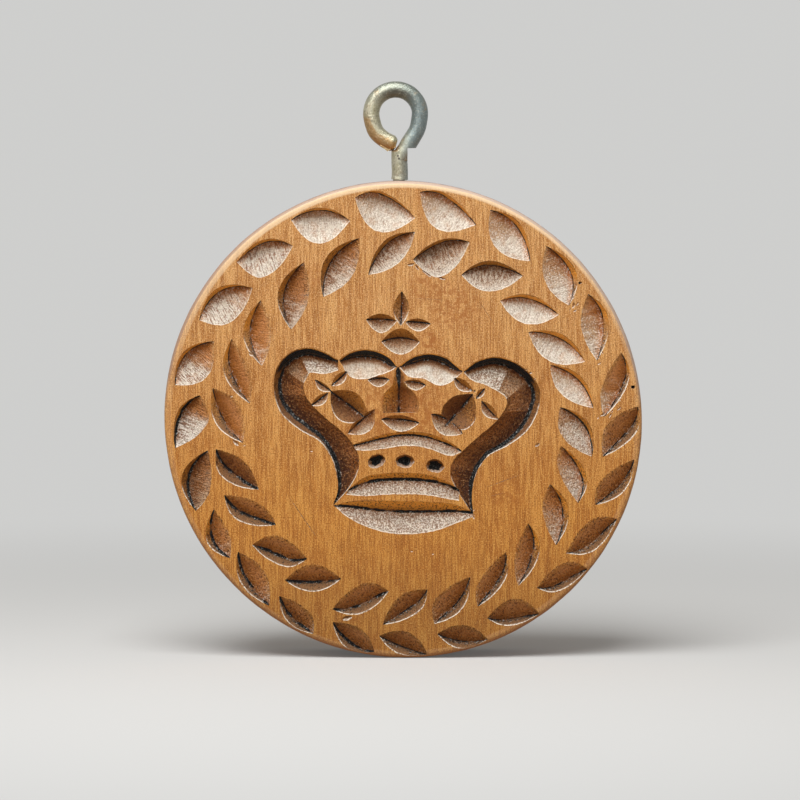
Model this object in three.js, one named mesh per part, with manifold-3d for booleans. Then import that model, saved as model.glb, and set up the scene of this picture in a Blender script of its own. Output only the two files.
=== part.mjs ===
// A round wooden cookie mould, carved with a crown inside a wreath of leaves, that hangs from a steel
// screw eye. Millimetres, +Z up. The carved face looks along -Y. The origin is where the mould hangs: the
// inside top of the ring.

import * as THREE from 'three';
import { mergeVertices } from 'three/addons/utils/BufferGeometryUtils.js';
import Module from 'manifold-3d';

// Disc
const DISC_RADIUS = 50;
const DISC_THICKNESS = 18;
const EDGE_ROUNDING = 1.1;
const EDGE_STEPS = 4;
const DISC_SIDES = 120;
const OUT_OF_ROUND = 0.25;
const LONG_AXIS_TILT = 45;
const FACE_Y = -DISC_THICKNESS / 2;
const BACK_Y = DISC_THICKNESS / 2;

// Screw eye
const WIRE_RADIUS = 1.8;
const RING_RADIUS = 5.13;
const RING_ABOVE_DISC_CENTRE = 64;
const SHANK_BESIDE_RING_CENTRE = 0.85;
const RING_BESIDE_DISC_CENTRE = -1.6;
const SHANK_ABOVE_WOOD = 0.4;
const CORE_RADIUS = 1.45;
const CORE_DEPTH = 13;
const POINT_LENGTH = 3;
const PILOT_GAP = 0.3;
const WIRE_SIDES = 16;
const WIRE_STEPS = 80;

// Carving: every hollow is a V cut with a steep wall on one side and a gentle floor on the other.
const DEPTH_SHARE = 0.34;
const LEAF_STEPS = 8;
const LENS_STEPS = 6;
const LENS_PEAK = 0.5;
const SPLINE_STEPS = 2;
const CUTTER_RISE = 1;
const CUTTER_LIP = 0.02;
const PIT_HALF_LENGTH = 1.9;
const PIT_HALF_WIDTH = 1.4;
const PIT_DEPTH = 1.8;
const PIT_SIDES = 12;
const PIT_RINGS = 8;

// The wreath is cut by eye, so every leaf has its own place. A row is one pair, clockwise from the top,
// seen from the front and measured from the disc's centre. Each leaf has its heel x and z, its tip x and
// z, how far its edges bulge towards the rim and towards the centre, where along it each of the two
// bulges most, from 0 at the heel to 1, and how far across it the crease lies, from 0 at the edge towards
// the rim to 1.
const LEAF_PAIRS = [
  {
    outer: [-10.1, 46.4, 2.5, 42.2, 3, 5.2, 0.35, 0.5, 0.07],
    inner: [-7.3, 30.3, 2.5, 39.3, 3, 2.5, 0.55, 0.5, 0.16],
  },
  {
    outer: [3.5, 47.6, 15.2, 40.8, 2.5, 4.9, 0.35, 0.5, 0.1],
    inner: [2, 33.5, 13.9, 37.2, 2.3, 5.2, 0.55, 0.35, 0.1],
  },
  {
    outer: [18.1, 43.9, 26.5, 33.2, 3.2, 4, 0.45, 0.5, 0.13],
    inner: [12.1, 30.3, 25, 30.1, 3.1, 3.4, 0.45, 0.45, 0.15],
  },
  {
    outer: [29.8, 36.4, 34.6, 23.9, 4, 2.9, 0.55, 0.5, 0.17],
    inner: [20.2, 24.9, 32.5, 22, 2.7, 3.5, 0.45, 0.5, 0.15],
  },
  {
    outer: [38.6, 26.4, 40.5, 12.4, 3.6, 2.4, 0.4, 0.45, 0.2],
    inner: [26.1, 18.4, 38, 12.2, 2.9, 3.4, 0.5, 0.5, 0.17],
  },
  {
    outer: [45.5, 14.2, 42, 0.6, 3.1, 2.1, 0.35, 0.6, 0.17],
    inner: [30.7, 11.5, 39.7, 2.5, 2.9, 2.7, 0.5, 0.45, 0.17],
  },
  {
    outer: [49.1, 2.9, 41.8, -7.7, 2.9, 3.3, 0.35, 0.55, 0.26],
    inner: [32.8, 2.7, 39.5, -7.7, 3.2, 3.1, 0.5, 0.4, 0.15],
  },
  {
    outer: [48.3, -8.2, 40.2, -17.8, 2.8, 2.6, 0.5, 0.65, 0.27],
    inner: [33, -5.4, 36.6, -17.4, 3.4, 2.1, 0.6, 0.35, 0.2],
  },
  {
    outer: [44.8, -20.7, 34.1, -27.9, 2.9, 3, 0.6, 0.35, 0.28],
    inner: [30.7, -13.4, 32, -26.3, 3.4, 2.2, 0.45, 0.4, 0.22],
  },
  {
    outer: [38.8, -31.2, 28, -35.2, 2.3, 3.1, 0.65, 0.35, 0.26],
    inner: [26.1, -21.6, 24.1, -34.8, 3.4, 1.8, 0.4, 0.55, 0.27],
  },
  {
    outer: [28.7, -40.7, 17.6, -41.6, 2, 3.8, 0.6, 0.45, 0.22],
    inner: [21.5, -27.6, 15.6, -39.2, 2.6, 2.3, 0.4, 0.65, 0.25],
  },
  {
    outer: [17.8, -46, 7.1, -44.9, 2.7, 2.6, 0.5, 0.5, 0.29],
    inner: [14, -32.9, 6.5, -42.8, 2.8, 3.1, 0.5, 0.65, 0.27],
  },
  {
    outer: [5.2, -49.3, -5.1, -45.3, 2.1, 3.1, 0.5, 0.5, 0.3],
    inner: [5.1, -35.5, -4.3, -43, 2.6, 2.6, 0.35, 0.45, 0.33],
  },
  {
    outer: [-6, -48.7, -14.8, -42.4, 2.9, 2.4, 0.45, 0.45, 0.27],
    inner: [-3, -35.9, -14.9, -39.7, 2.8, 3.3, 0.55, 0.35, 0.3],
  },
  {
    outer: [-18.8, -44.9, -26, -36.9, 2.4, 2.6, 0.5, 0.35, 0.27],
    inner: [-13, -33.3, -24.8, -33.6, 2.6, 3.3, 0.5, 0.5, 0.33],
  },
  {
    outer: [-28.1, -39, -34.6, -27.6, 2.8, 2.9, 0.55, 0.5, 0.25],
    inner: [-20.1, -29.1, -31.7, -26.2, 2.8, 3.3, 0.35, 0.6, 0.31],
  },
  {
    outer: [-36.3, -29, -39.6, -18.6, 3.6, 1.6, 0.45, 0.4, 0.25],
    inner: [-26.6, -22, -37.5, -15.7, 3.2, 2.3, 0.6, 0.4, 0.34],
  },
  {
    outer: [-43.4, -19.1, -40.8, -6.3, 4.4, 2.2, 0.5, 0.4, 0.22],
    inner: [-30.2, -14.6, -39.2, -6.1, 3.4, 2.3, 0.6, 0.5, 0.36],
  },
  {
    outer: [-47.7, -5.9, -42.5, 5.2, 2.8, 4.1, 0.6, 0.65, 0.11],
    inner: [-33.5, -4.8, -39.8, 6.7, 3.1, 3.3, 0.5, 0.55, 0.28],
  },
  {
    outer: [-47.7, 7.3, -39.5, 16.5, 3.3, 3.9, 0.5, 0.45, 0.1],
    inner: [-32, 3.4, -35.8, 17, 3.6, 1.8, 0.55, 0.4, 0.28],
  },
  {
    outer: [-42.6, 20.9, -31.4, 27.6, 3.8, 3.8, 0.5, 0.4, 0.12],
    inner: [-29.5, 11.3, -29.7, 25.1, 3.9, 2.2, 0.5, 0.5, 0.25],
  },
  {
    outer: [-34.7, 33, -23, 36.4, 3, 4.6, 0.55, 0.35, 0.1],
    inner: [-23.4, 18.9, -20.7, 33, 4.2, 2.5, 0.5, 0.5, 0.2],
  },
  {
    outer: [-23.4, 41.8, -11.1, 41.6, 2.7, 4.9, 0.5, 0.47, 0.08],
    inner: [-16.7, 25.7, -9.2, 38, 3.8, 3, 0.5, 0.5, 0.2],
  },
];

// The crown's short cuts: two ends, and the bulge to the left and to the right of the way from the first
// end to the second. The crease's place is between the left edge, 0, and the right edge, 1.
const CROWN_LENSES = [
  { name: 'finial top', cut: [-0.5, 19.7, -0.3, 27, 1.8, 1.7], crease: 0.53 },
  { name: 'finial left', cut: [-7.8, 21, -1.3, 20.7, 1.5, 2.7], crease: 0.3 },
  { name: 'finial right', cut: [0.4, 20.5, 5.8, 20.1, 1, 1.8], crease: 0.3 },
  { name: 'ball', cut: [-4.6, 16.4, 3.5, 16.3, 2.9, 2.7], crease: 0.38 },
  { name: 'lens under the centre petal', cut: [-4.7, 0.2, 3.5, -0.6, 1.3, 2.3], crease: 0.28 },
  { name: 'short lens on the left', cut: [-7.5, 8.4, -2.8, 8.5, 0.8, 1.6], crease: 0.2 },
  { name: 'short lens on the right', cut: [0.2, 8, 4.8, 7.3, 0.9, 1.5], crease: 0.25 },
  { name: 'left flower, first petal', cut: [-18.5, 8.5, -14.9, 6, 0.5, 1.3], crease: 0.3 },
  { name: 'left flower, second petal', cut: [-15.1, 7.1, -11.6, 10.4, 0.9, 1.3], crease: 0.45 },
  { name: 'left flower, third petal', cut: [-19.3, 3, -15.6, 5.8, 0.8, 1.4], crease: 0.4 },
  { name: 'left flower, large petal', cut: [-15.2, 6, -7.4, 0, 3.1, 3.7], crease: 0.46 },
  { name: 'left flower, cross cut', cut: [-11.6, -2.9, -5.9, 2.3, 1.1, 2.7], crease: 0.25 },
  { name: 'right flower, first petal', cut: [10.5, 9, 14.6, 6.1, 0.9, 1.6], crease: 0.45 },
  { name: 'right flower, second petal', cut: [15.2, 4.4, 17.1, 6.7, 0.8, 0.8], crease: 0.5 },
  { name: 'right flower, third petal', cut: [16.3, 4.1, 19.9, 0.1, 0.9, 1.6], crease: 0.4 },
  { name: 'right flower, large petal', cut: [14.6, 5.5, 8.1, -2.1, 4.2, 3.2], crease: 0.56 },
  { name: 'right flower, cross cut', cut: [5.8, 1.3, 12.5, -2.9, 1.6, 2.5], crease: 0.2 },
];

// The crown's long cuts: at each station the x and z of the steep wall's edge, of the crease and of the
// floor's edge.
const CROWN_RUNS = [
  {
    name: 'left arm with the first arch',
    stations: [
      [-13.5, 12.6, -13.7, 12.3, -13.6, 10.3],
      [-16.5, 14.3, -16.8, 13.1, -16.3, 9.6],
      [-19.9, 15.2, -20.1, 13.7, -19.5, 9.8],
      [-23.6, 14.2, -22.8, 12.9, -19.9, 9.2],
      [-26.4, 11.1, -25.1, 10.5, -20.7, 7.5],
      [-27.1, 6.7, -25.9, 6.7, -20.6, 5.9],
      [-25.7, 1.6, -24.4, 2.5, -19.5, 3.8],
      [-21.5, -2.2, -20.6, -0.9, -16.1, 0.4],
      [-17.5, -4.5, -17.1, -3.6, -12.4, -2.7],
      [-15.1, -7.8, -14.5, -7.6, -9.5, -6.7],
      [-14, -11.3, -13.5, -11.1, -9.2, -10],
      [-13.7, -14.7, -13.4, -14.4, -11.1, -14],
      [-14.7, -17.8, -14.5, -17.6, -14, -17.3],
    ],
  },
  {
    name: 'second arch',
    stations: [
      [-13.5, 12.6, -13.1, 12.4, -12.2, 10.3],
      [-11.1, 14.2, -10.9, 13, -10.7, 8.8],
      [-7.8, 14.9, -7.8, 13.2, -7.8, 8.5],
      [-4.4, 14.1, -4.6, 12.6, -4.8, 9.4],
      [-2.3, 12.7, -2.8, 11.5, -2.8, 10.1],
      [-1.1, 11.2, -1.3, 11.1, -1.3, 11.1],
    ],
  },
  {
    name: 'third arch',
    stations: [
      [-1, 11.3, -0.8, 11.1, -0.7, 10.9],
      [1.6, 13.1, 2, 11.9, 1, 9.1],
      [5.2, 14, 5.4, 12.7, 4.1, 8.6],
      [8.9, 13.2, 8.7, 11.7, 7.7, 7.1],
      [11, 11.6, 10.6, 10.7, 10.2, 8],
      [12.6, 10.3, 12.4, 10.2, 12.1, 9.8],
    ],
  },
  {
    name: 'right arm with the fourth arch',
    stations: [
      [12.6, 10.3, 12.8, 10.1, 12.7, 9.8],
      [15.2, 12.3, 15.4, 11.1, 14.4, 8.2],
      [19.2, 13.3, 19.2, 11.9, 16.9, 7.4],
      [22.9, 12.4, 22.1, 11.1, 19.8, 5.9],
      [26.5, 9.8, 25.2, 9, 21.3, 4.8],
      [28.6, 6.3, 27.2, 6.1, 21.6, 3.6],
      [28.2, 1.9, 26.7, 2.5, 21.1, 2.1],
      [25.9, -2.3, 24.9, -1.2, 19, -0.6],
      [21.9, -5.4, 21.6, -4.6, 15.6, -3.5],
      [17.9, -7.5, 17.6, -7, 12.7, -6.1],
      [15.6, -10.5, 15.3, -10.1, 10.2, -8.8],
      [14.6, -13.8, 14.2, -13.6, 9.8, -11.5],
      [14.4, -16.8, 14.2, -16.5, 11.5, -15.1],
      [14.8, -20.1, 14.4, -19.3, 13.6, -18.4],
    ],
  },
  {
    name: 'centre petal',
    stations: [
      [-1.3, 11.1, -1.1, 11.1, -0.9, 11.1],
      [-2, 9.4, -1, 9.4, 0.1, 9.4],
      [-2.3, 7.5, -0.9, 7.5, 0.6, 7.3],
      [-4, 5.5, -0.9, 5.5, 2.5, 5.5],
      [-4.4, 3.4, -0.9, 3.4, 3.3, 3.6],
      [-4.2, 1.5, -0.9, 1.3, 3.2, 1.7],
    ],
  },
  {
    name: 'upper band',
    stations: [
      [-10.5, -5, -10.4, -5.4, -10.1, -6.3],
      [-8, -4.2, -8, -4.8, -7.8, -6.5],
      [-4.4, -3, -4.4, -3.9, -4.4, -6.1],
      [-0.3, -2.4, -0.3, -3.2, -0.3, -5.5],
      [3.9, -2.5, 3.9, -3.4, 3.9, -5.7],
      [7.7, -3.5, 7.7, -4.5, 7.7, -6.9],
      [10.2, -4.8, 10.2, -5.5, 9.8, -7.6],
      [12.3, -6.4, 12.2, -6.5, 12.1, -6.8],
    ],
  },
  {
    name: 'lower band',
    stations: [
      [-11.3, -14.4, -11.6, -14.7, -12, -15.7],
      [-8, -11.9, -8, -13.2, -8, -16],
      [-3.8, -11.1, -3.8, -12.6, -3.8, -15.7],
      [0.4, -11, 0.4, -12.5, 0.4, -15.6],
      [4.6, -11.3, 4.6, -12.7, 4.6, -15.8],
      [8.3, -12.4, 8.3, -13.4, 8.3, -16.4],
      [11.7, -14.4, 11.7, -14.7, 11.7, -17],
    ],
  },
  {
    name: 'foot',
    stations: [
      [-14.6, -17.8, -14.5, -17.9, -14.5, -18],
      [-11.1, -17, -11.1, -18.2, -11.8, -20.3],
      [-5.9, -16.8, -5.9, -18.9, -6.5, -22.9],
      [-0.7, -16.9, -0.7, -19.3, -0.3, -24],
      [5.6, -17.1, 5.6, -19.3, 6.2, -23.4],
      [10.8, -17.6, 10.8, -19.2, 11.1, -21.7],
      [14.6, -19.3, 14.4, -19.4, 14.8, -20.3],
    ],
  },
];

// Three oval pits in the headband: centre x and z, and the tilt in degrees.
const CROWN_PITS = [
  [-5.6, -8.6, 20],
  [0.4, -8.6, 0],
  [6.7, -9.6, -8],
];

const wasm = await Module();
wasm.setup();

function makeSolid(positions, indices) {
  return new wasm.Manifold(new wasm.Mesh({
    numProp: 3,
    vertProperties: new Float32Array(positions),
    triVerts: new Uint32Array(indices),
  }));
}

// Turns a closed geometry into a solid that can be cut and joined.
function toSolid(geometry) {
  const bare = geometry.clone();
  bare.deleteAttribute('normal');
  bare.deleteAttribute('uv');
  const merged = mergeVertices(bare, 1e-4);
  return makeSolid(merged.attributes.position.array, merged.index.array);
}

// Turns a solid back into a geometry.
function toGeometry(solid) {
  const mesh = solid.getMesh();
  const geometry = new THREE.BufferGeometry();
  geometry.setAttribute('position', new THREE.BufferAttribute(mesh.vertProperties, 3));
  geometry.setIndex(new THREE.BufferAttribute(mesh.triVerts, 1));
  return geometry;
}

// Skins a row of closed sections, each a ring of points, into one closed solid with flat ends. The
// sections may run either way round, and the faces are turned over where they would point in.
function loftSolid(sections) {
  const ringSize = sections[0].length;
  const last = sections.length - 1;
  const positions = sections.flat().flatMap((point) => point.toArray());
  const indices = [];
  for (let i = 0; i < last; i++) {
    for (let j = 0; j < ringSize; j++) {
      const a = i * ringSize + j;
      const b = i * ringSize + (j + 1) % ringSize;
      indices.push(a, b, b + ringSize);
      indices.push(a, b + ringSize, a + ringSize);
    }
  }
  for (let j = 1; j < ringSize - 1; j++) {
    indices.push(0, j + 1, j);
    indices.push(last * ringSize, last * ringSize + j, last * ringSize + j + 1);
  }
  const solid = makeSolid(positions, indices);
  return solid.volume() > 0 ? solid : makeSolid(positions, indices.reverse());
}

// One V cut. Each station holds the wall's edge, the crease and the floor's edge as points of the face
// (x, z). A wide cut is deep and a narrow one shallow, so it runs out to nothing where its edges meet.
function vCut(stations) {
  const sections = stations.map(([wall, crease, floor]) => {
    const width = wall.distanceTo(floor);
    const lipY = FACE_Y - CUTTER_LIP;
    const topY = FACE_Y - CUTTER_RISE;
    return [
      new THREE.Vector3(wall.x, topY, wall.y),
      new THREE.Vector3(wall.x, lipY, wall.y),
      new THREE.Vector3(crease.x, lipY + DEPTH_SHARE * width, crease.y),
      new THREE.Vector3(floor.x, lipY, floor.y),
      new THREE.Vector3(floor.x, topY, floor.y),
    ];
  });
  return loftSolid(sections);
}

// How far an edge has bulged at a share of its length: not at all at its ends, and wholly at its peak.
function fullness(share, peak) {
  const reach = share < peak ? peak : 1 - peak;
  return 1 - ((share - peak) / reach) ** 2;
}

// A pointed cut between two ends. The edges bulge from the straight line between them, to its left and
// its right.
function lensCut([x1, z1, x2, z2, left, right, leftPeak, rightPeak], crease, steps) {
  const start = new THREE.Vector2(x1, z1);
  const end = new THREE.Vector2(x2, z2);
  const along = end.clone().sub(start);
  const sideways = new THREE.Vector2(-along.y, along.x).normalize();
  const stations = [];
  for (let i = 0; i <= steps; i++) {
    const share = i / steps;
    const leftOffset = left * fullness(share, leftPeak);
    const rightOffset = -right * fullness(share, rightPeak);
    const creaseOffset = THREE.MathUtils.lerp(leftOffset, rightOffset, crease);
    const middle = start.clone().addScaledVector(along, share);
    stations.push([leftOffset, creaseOffset, rightOffset].map(
      (offset) => middle.clone().addScaledVector(sideways, offset),
    ));
  }
  return vCut(stations);
}

// A long cut: smooth curves through the stations' wall edges, creases and floor edges.
function runCut(stations) {
  const curves = [0, 2, 4].map((k) => new THREE.CatmullRomCurve3(
    stations.map((row) => new THREE.Vector3(row[k], row[k + 1], 0)),
  ));
  const steps = (stations.length - 1) * SPLINE_STEPS;
  const smooth = [];
  for (let i = 0; i <= steps; i++) {
    smooth.push(curves.map((curve) => {
      const point = curve.getPoint(i / steps);
      return new THREE.Vector2(point.x, point.y);
    }));
  }
  return vCut(smooth);
}

// A leaf lies along the wreath, so its left side is the one towards the rim. The steep wall is on that side.
function leafCut(leaf) {
  return lensCut(leaf.slice(0, -1), leaf.at(-1), LEAF_STEPS);
}

// The crown's short cuts bulge most in the middle.
function crownLensCut(lens) {
  return lensCut([...lens.cut, LENS_PEAK, LENS_PEAK], lens.crease, LENS_STEPS);
}

function pitCut([x, z, tilt]) {
  const bowl = new THREE.SphereGeometry(1, PIT_SIDES, PIT_RINGS);
  bowl.scale(PIT_HALF_LENGTH, PIT_DEPTH, PIT_HALF_WIDTH);
  bowl.rotateY(-THREE.MathUtils.degToRad(tilt));
  bowl.translate(x, FACE_Y, z);
  return toSolid(bowl);
}

// The turned disc: a revolved outline with rounded edges, its axis along Y. The wood has since dried a
// little out of round, and is longest from the upper left to the lower right.
function turnedDisc() {
  const half = new THREE.Path();
  half.moveTo(0, FACE_Y);
  half.lineTo(DISC_RADIUS - EDGE_ROUNDING, FACE_Y);
  half.absarc(DISC_RADIUS - EDGE_ROUNDING, FACE_Y + EDGE_ROUNDING, EDGE_ROUNDING, -Math.PI / 2, 0);
  half.absarc(DISC_RADIUS - EDGE_ROUNDING, BACK_Y - EDGE_ROUNDING, EDGE_ROUNDING, 0, Math.PI / 2);
  half.lineTo(0, BACK_Y);
  const tilt = THREE.MathUtils.degToRad(LONG_AXIS_TILT);
  const stretch = OUT_OF_ROUND / DISC_RADIUS;
  const outline = half.getPoints(EDGE_STEPS / 2); // an arc gets two facets for each division
  const disc = new THREE.LatheGeometry(outline, DISC_SIDES);
  disc.rotateY(tilt).scale(1 - stretch, 1, 1 + stretch).rotateY(-tilt);
  return toSolid(disc);
}

// A pointed round bar that stands on its point, with its axis along Z.
function pointedBar(radius, topZ, shoulderZ, pointZ) {
  const outline = [
    new THREE.Vector2(0, pointZ),
    new THREE.Vector2(radius, shoulderZ),
    new THREE.Vector2(radius, topZ),
    new THREE.Vector2(0, topZ),
  ];
  return new THREE.LatheGeometry(outline, WIRE_SIDES).rotateX(Math.PI / 2);
}

const shankX = RING_BESIDE_DISC_CENTRE + SHANK_BESIDE_RING_CENTRE;
const shoulderZ = DISC_RADIUS - CORE_DEPTH;

function mouldBody() {
  const cuts = [
    ...LEAF_PAIRS.flatMap((pair) => [leafCut(pair.outer), leafCut(pair.inner)]),
    ...CROWN_LENSES.map(crownLensCut),
    ...CROWN_RUNS.map((run) => runCut(run.stations)),
    ...CROWN_PITS.map(pitCut),
  ];
  const pilotHole = pointedBar(
    CORE_RADIUS + PILOT_GAP,
    DISC_RADIUS + CUTTER_RISE,
    shoulderZ - PILOT_GAP,
    shoulderZ - POINT_LENGTH - 2 * PILOT_GAP,
  ).translate(shankX, 0, 0);
  return cuts.reduce((disc, cut) => disc.subtract(cut), turnedDisc()).subtract(toSolid(pilotHole));
}

// The wire's centre line, from the open ring's free end, round over the top and down the neck into the
// shank. The points are measured from the ring's centre.
function wireCentreLine() {
  const points = [[-0.6, -6.8], [-2.6, -5.5], [-4.05, -3.9]];
  const arcStart = 197;
  const arcEnd = -14;
  const arcSteps = 10;
  for (let i = 0; i <= arcSteps; i++) {
    const angle = THREE.MathUtils.degToRad(THREE.MathUtils.lerp(arcStart, arcEnd, i / arcSteps));
    points.push([RING_RADIUS * Math.cos(angle), RING_RADIUS * Math.sin(angle)]);
  }
  const shankEnd = DISC_RADIUS + SHANK_ABOVE_WOOD - RING_ABOVE_DISC_CENTRE;
  points.push([4.6, -3.2], [3.6, -5], [2.4, -6.8], [1.2, -8.4]);
  for (const z of [-10.2, -12, shankEnd]) {
    points.push([SHANK_BESIDE_RING_CENTRE, z]);
  }
  return new THREE.CatmullRomCurve3(points.map(([x, z]) => new THREE.Vector3(
    x + RING_BESIDE_DISC_CENTRE,
    0,
    z + RING_ABOVE_DISC_CENTRE,
  )));
}

function screwEye() {
  const section = new THREE.Shape().absarc(0, 0, WIRE_RADIUS, 0, 2 * Math.PI);
  const wire = new THREE.ExtrudeGeometry(section, {
    steps: WIRE_STEPS,
    curveSegments: WIRE_SIDES / 2,
    extrudePath: wireCentreLine(),
  });
  const core = pointedBar(
    CORE_RADIUS,
    DISC_RADIUS + SHANK_ABOVE_WOOD + WIRE_RADIUS,
    shoulderZ,
    shoulderZ - POINT_LENGTH,
  ).translate(shankX, 0, 0);
  return toSolid(wire).add(toSolid(core));
}

const wood = new THREE.MeshStandardMaterial({ color: 0xc0803f, roughness: 0.6, metalness: 0 });
const steel = new THREE.MeshStandardMaterial({ color: 0x968773, roughness: 0.45, metalness: 0.9 });

function namedMesh(name, solid, material) {
  const mesh = new THREE.Mesh(toGeometry(solid), material);
  mesh.name = name;
  return mesh;
}

const mould = new THREE.Group();
mould.position.set(
  -RING_BESIDE_DISC_CENTRE,
  0,
  -(RING_ABOVE_DISC_CENTRE + RING_RADIUS - WIRE_RADIUS),
);
mould.add(namedMesh('mould_body', mouldBody(), wood));
mould.add(namedMesh('screw_eye', screwEye(), steel));

const root = new THREE.Group();
root.add(mould);

export default root;
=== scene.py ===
"""The looks of a round wooden cookie mould, carved with a crown inside a wreath of leaves, that hangs from
a steel screw eye.

Shapes are worked out in millimetres from the disc's centre, seen from the front: x to the right, z up and
y into the wood. place() turns them into the model's metres. Colours are linear red, green and blue."""
import math
from types import SimpleNamespace
import bpy
import numpy as np
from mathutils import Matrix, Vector, kdtree, noise


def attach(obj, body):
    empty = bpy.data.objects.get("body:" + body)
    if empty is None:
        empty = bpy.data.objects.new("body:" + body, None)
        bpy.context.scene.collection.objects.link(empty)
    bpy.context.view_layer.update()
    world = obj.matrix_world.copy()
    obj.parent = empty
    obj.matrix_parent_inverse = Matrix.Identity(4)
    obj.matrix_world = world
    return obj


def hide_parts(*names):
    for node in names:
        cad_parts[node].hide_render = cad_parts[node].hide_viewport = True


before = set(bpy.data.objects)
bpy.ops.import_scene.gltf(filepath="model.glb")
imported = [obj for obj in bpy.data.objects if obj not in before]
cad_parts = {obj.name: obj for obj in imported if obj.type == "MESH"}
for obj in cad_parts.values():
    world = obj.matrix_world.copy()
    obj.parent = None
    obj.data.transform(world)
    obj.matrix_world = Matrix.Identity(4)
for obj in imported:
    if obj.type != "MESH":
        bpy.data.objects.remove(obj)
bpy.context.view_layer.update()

MM = 0.001
DISC_CENTRE = np.array([0.0016, 0.0, -0.06733])  # in the model's frame, in metres

# Camera, lamps and surroundings, in metres and degrees. A lamp has its name, place, size and watts.
CAMERA_DISTANCE = 0.9
CAMERA_TILT = 3.0
CAMERA_TARGET = (0.00093, -0.009, -0.06313)
CAMERA_LENS = 193.75
LAMPS = [
    ("window", (-0.09, -0.28, 0.42), 0.4, 4.5),
    ("room", (-0.3, -1.35, 0.25), 1.2, 2.6),
]
BACKGROUND = (0.62, 0.62, 0.61)
AMBIENT = (0.2, 0.185, 0.165)
TABLE_GLOW = (0.5, 0.4, 0.29)  # the light a wooden table throws back up
FLOOR_REACH = 30.0
FLOOR_FADE = (0.03, 0.4)  # distances from the model's origin over which the floor turns into background

# Disc, in millimetres
DISC_RADIUS = 50.0
FACE_Y = -9.0
BACK_Y = 9.0
EDGE_ROUNDING = 1.1
DISC_SIDES = 360
ROUNDING_STEPS = 8
SIDE_STEPS = 14
OUT_OF_ROUND = 0.25
LONG_AXIS_TILT = 45.0
RIM_WEAR = 0.05
WORN_LIT_RIM = (48.3, 48.8)  # between these radii the face turns pale, with wear and a painted highlight

# Screw eye, in millimetres
WIRE_RADIUS = 1.72
RING_RADIUS = 5.13
RING_CENTRE = (-1.6, 64.0)
SHANK_X = -0.75
SHANK_RADIUS = 1.7
SHANK_FOOT_Z = 50.2
CORE_RADIUS = 1.4
CORE_DEPTH = 13.0
CORE_SIDES = 32  # and of its pilot hole
THREAD_RADIUS = 1.78
THREAD_PITCH = 1.3
THREAD_SIDES = 36
PILOT_RADIUS = 1.75
WIRE_SIDES = 40

# The wire's line from the ring's free end, round the ring and into the shank: x, z from the ring's centre
FREE_END = [(0.15, -6.45), (-1.0, -6.05), (-2.4, -5.3), (-4.05, -3.8)]
RING_ARC = (197, -14)
BEND = [(4.55, -3.2), (3.6, -4.9), (2.8, -6.2), (2.25, -7.3), (1.4, -8.5), (0.85, -9.3)]

# The burr at the ring's free end: x, z from the ring's centre. The nicks in the shank: x, z and radius
BURR = [(-3.3, -6.6), (-1.7, -7.9), (-0.6, -7.2), (0.1, -7.1), (0.1, -6.6), (-0.7, -6.7), (-1.6, -7.2),
        (-3.0, -6.1)]
BURR_DEPTH = (-1.1, -0.3)
NICKS = [(-1.1, 55.2, 0.35), (-0.9, 54.6, 0.3)]

# Cuts: every hollow is a V with a steep wall on one side and a gentle floor on the other.
DEPTH_SHARE = 0.34  # of a cut's width
STEP = 0.33  # along a cut
CUTTER_RISE = 1.0  # how far a cutting body stands out of the face
CUTTER_LIP = 0.02  # how far its edges do
LIP_ROUNDING = 0.14
SOFT_ROUNDING = 1.0  # of the lower leaves' upper edges
SCOOP = 0.35  # how far a floor is hollowed: 0 is flat
WALL_WAVER = 0.07  # how far an edge strays from its line
FLOOR_WAVER = 0.1
FLOOR_HUMPS = 0.07
FACET_DEPTH = 0.4  # how far the tool dug in on each stroke along a long cut
WALL_SHARES = (0, 0.03, 0.07, 0.13, 0.22, 0.34, 0.5, 0.66, 0.83)
FLOOR_SHARES = (0, 0.03, 0.08, 0.14, 0.2, 0.26, 0.32, 0.38, 0.44, 0.5, 0.56, 0.62, 0.68, 0.74, 0.8, 0.86,
                0.91, 0.95, 0.98, 1)
BOWL_SIDES = 28  # of a pit
BOWL_HEIGHTS = np.linspace(-0.98, 0.98, 15)
CROWN_PIT_SIZE = (1.9, 1.4, 1.8)  # half length, half width and depth
CARVED = 1  # the material slot of the hollows, after the turned outside

# Edges bent by more degrees than this are crisp.
WOOD_CREASE = 38
STEEL_CREASE = 40

# Each group of cuts has its own seeds of unevenness: the first one, and how far apart they are.
SEEDS = {"leaf": (0, 3.1), "lens": (100, 3.3), "run": (200, 3.7), "pit": (300, 5), "mark": (400, 3),
         "scratch": (500, 7), "chip": (700, 1)}
INNER_SEED = 40  # is added for the inner leaves
CHANCE_SEED = 7

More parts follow.
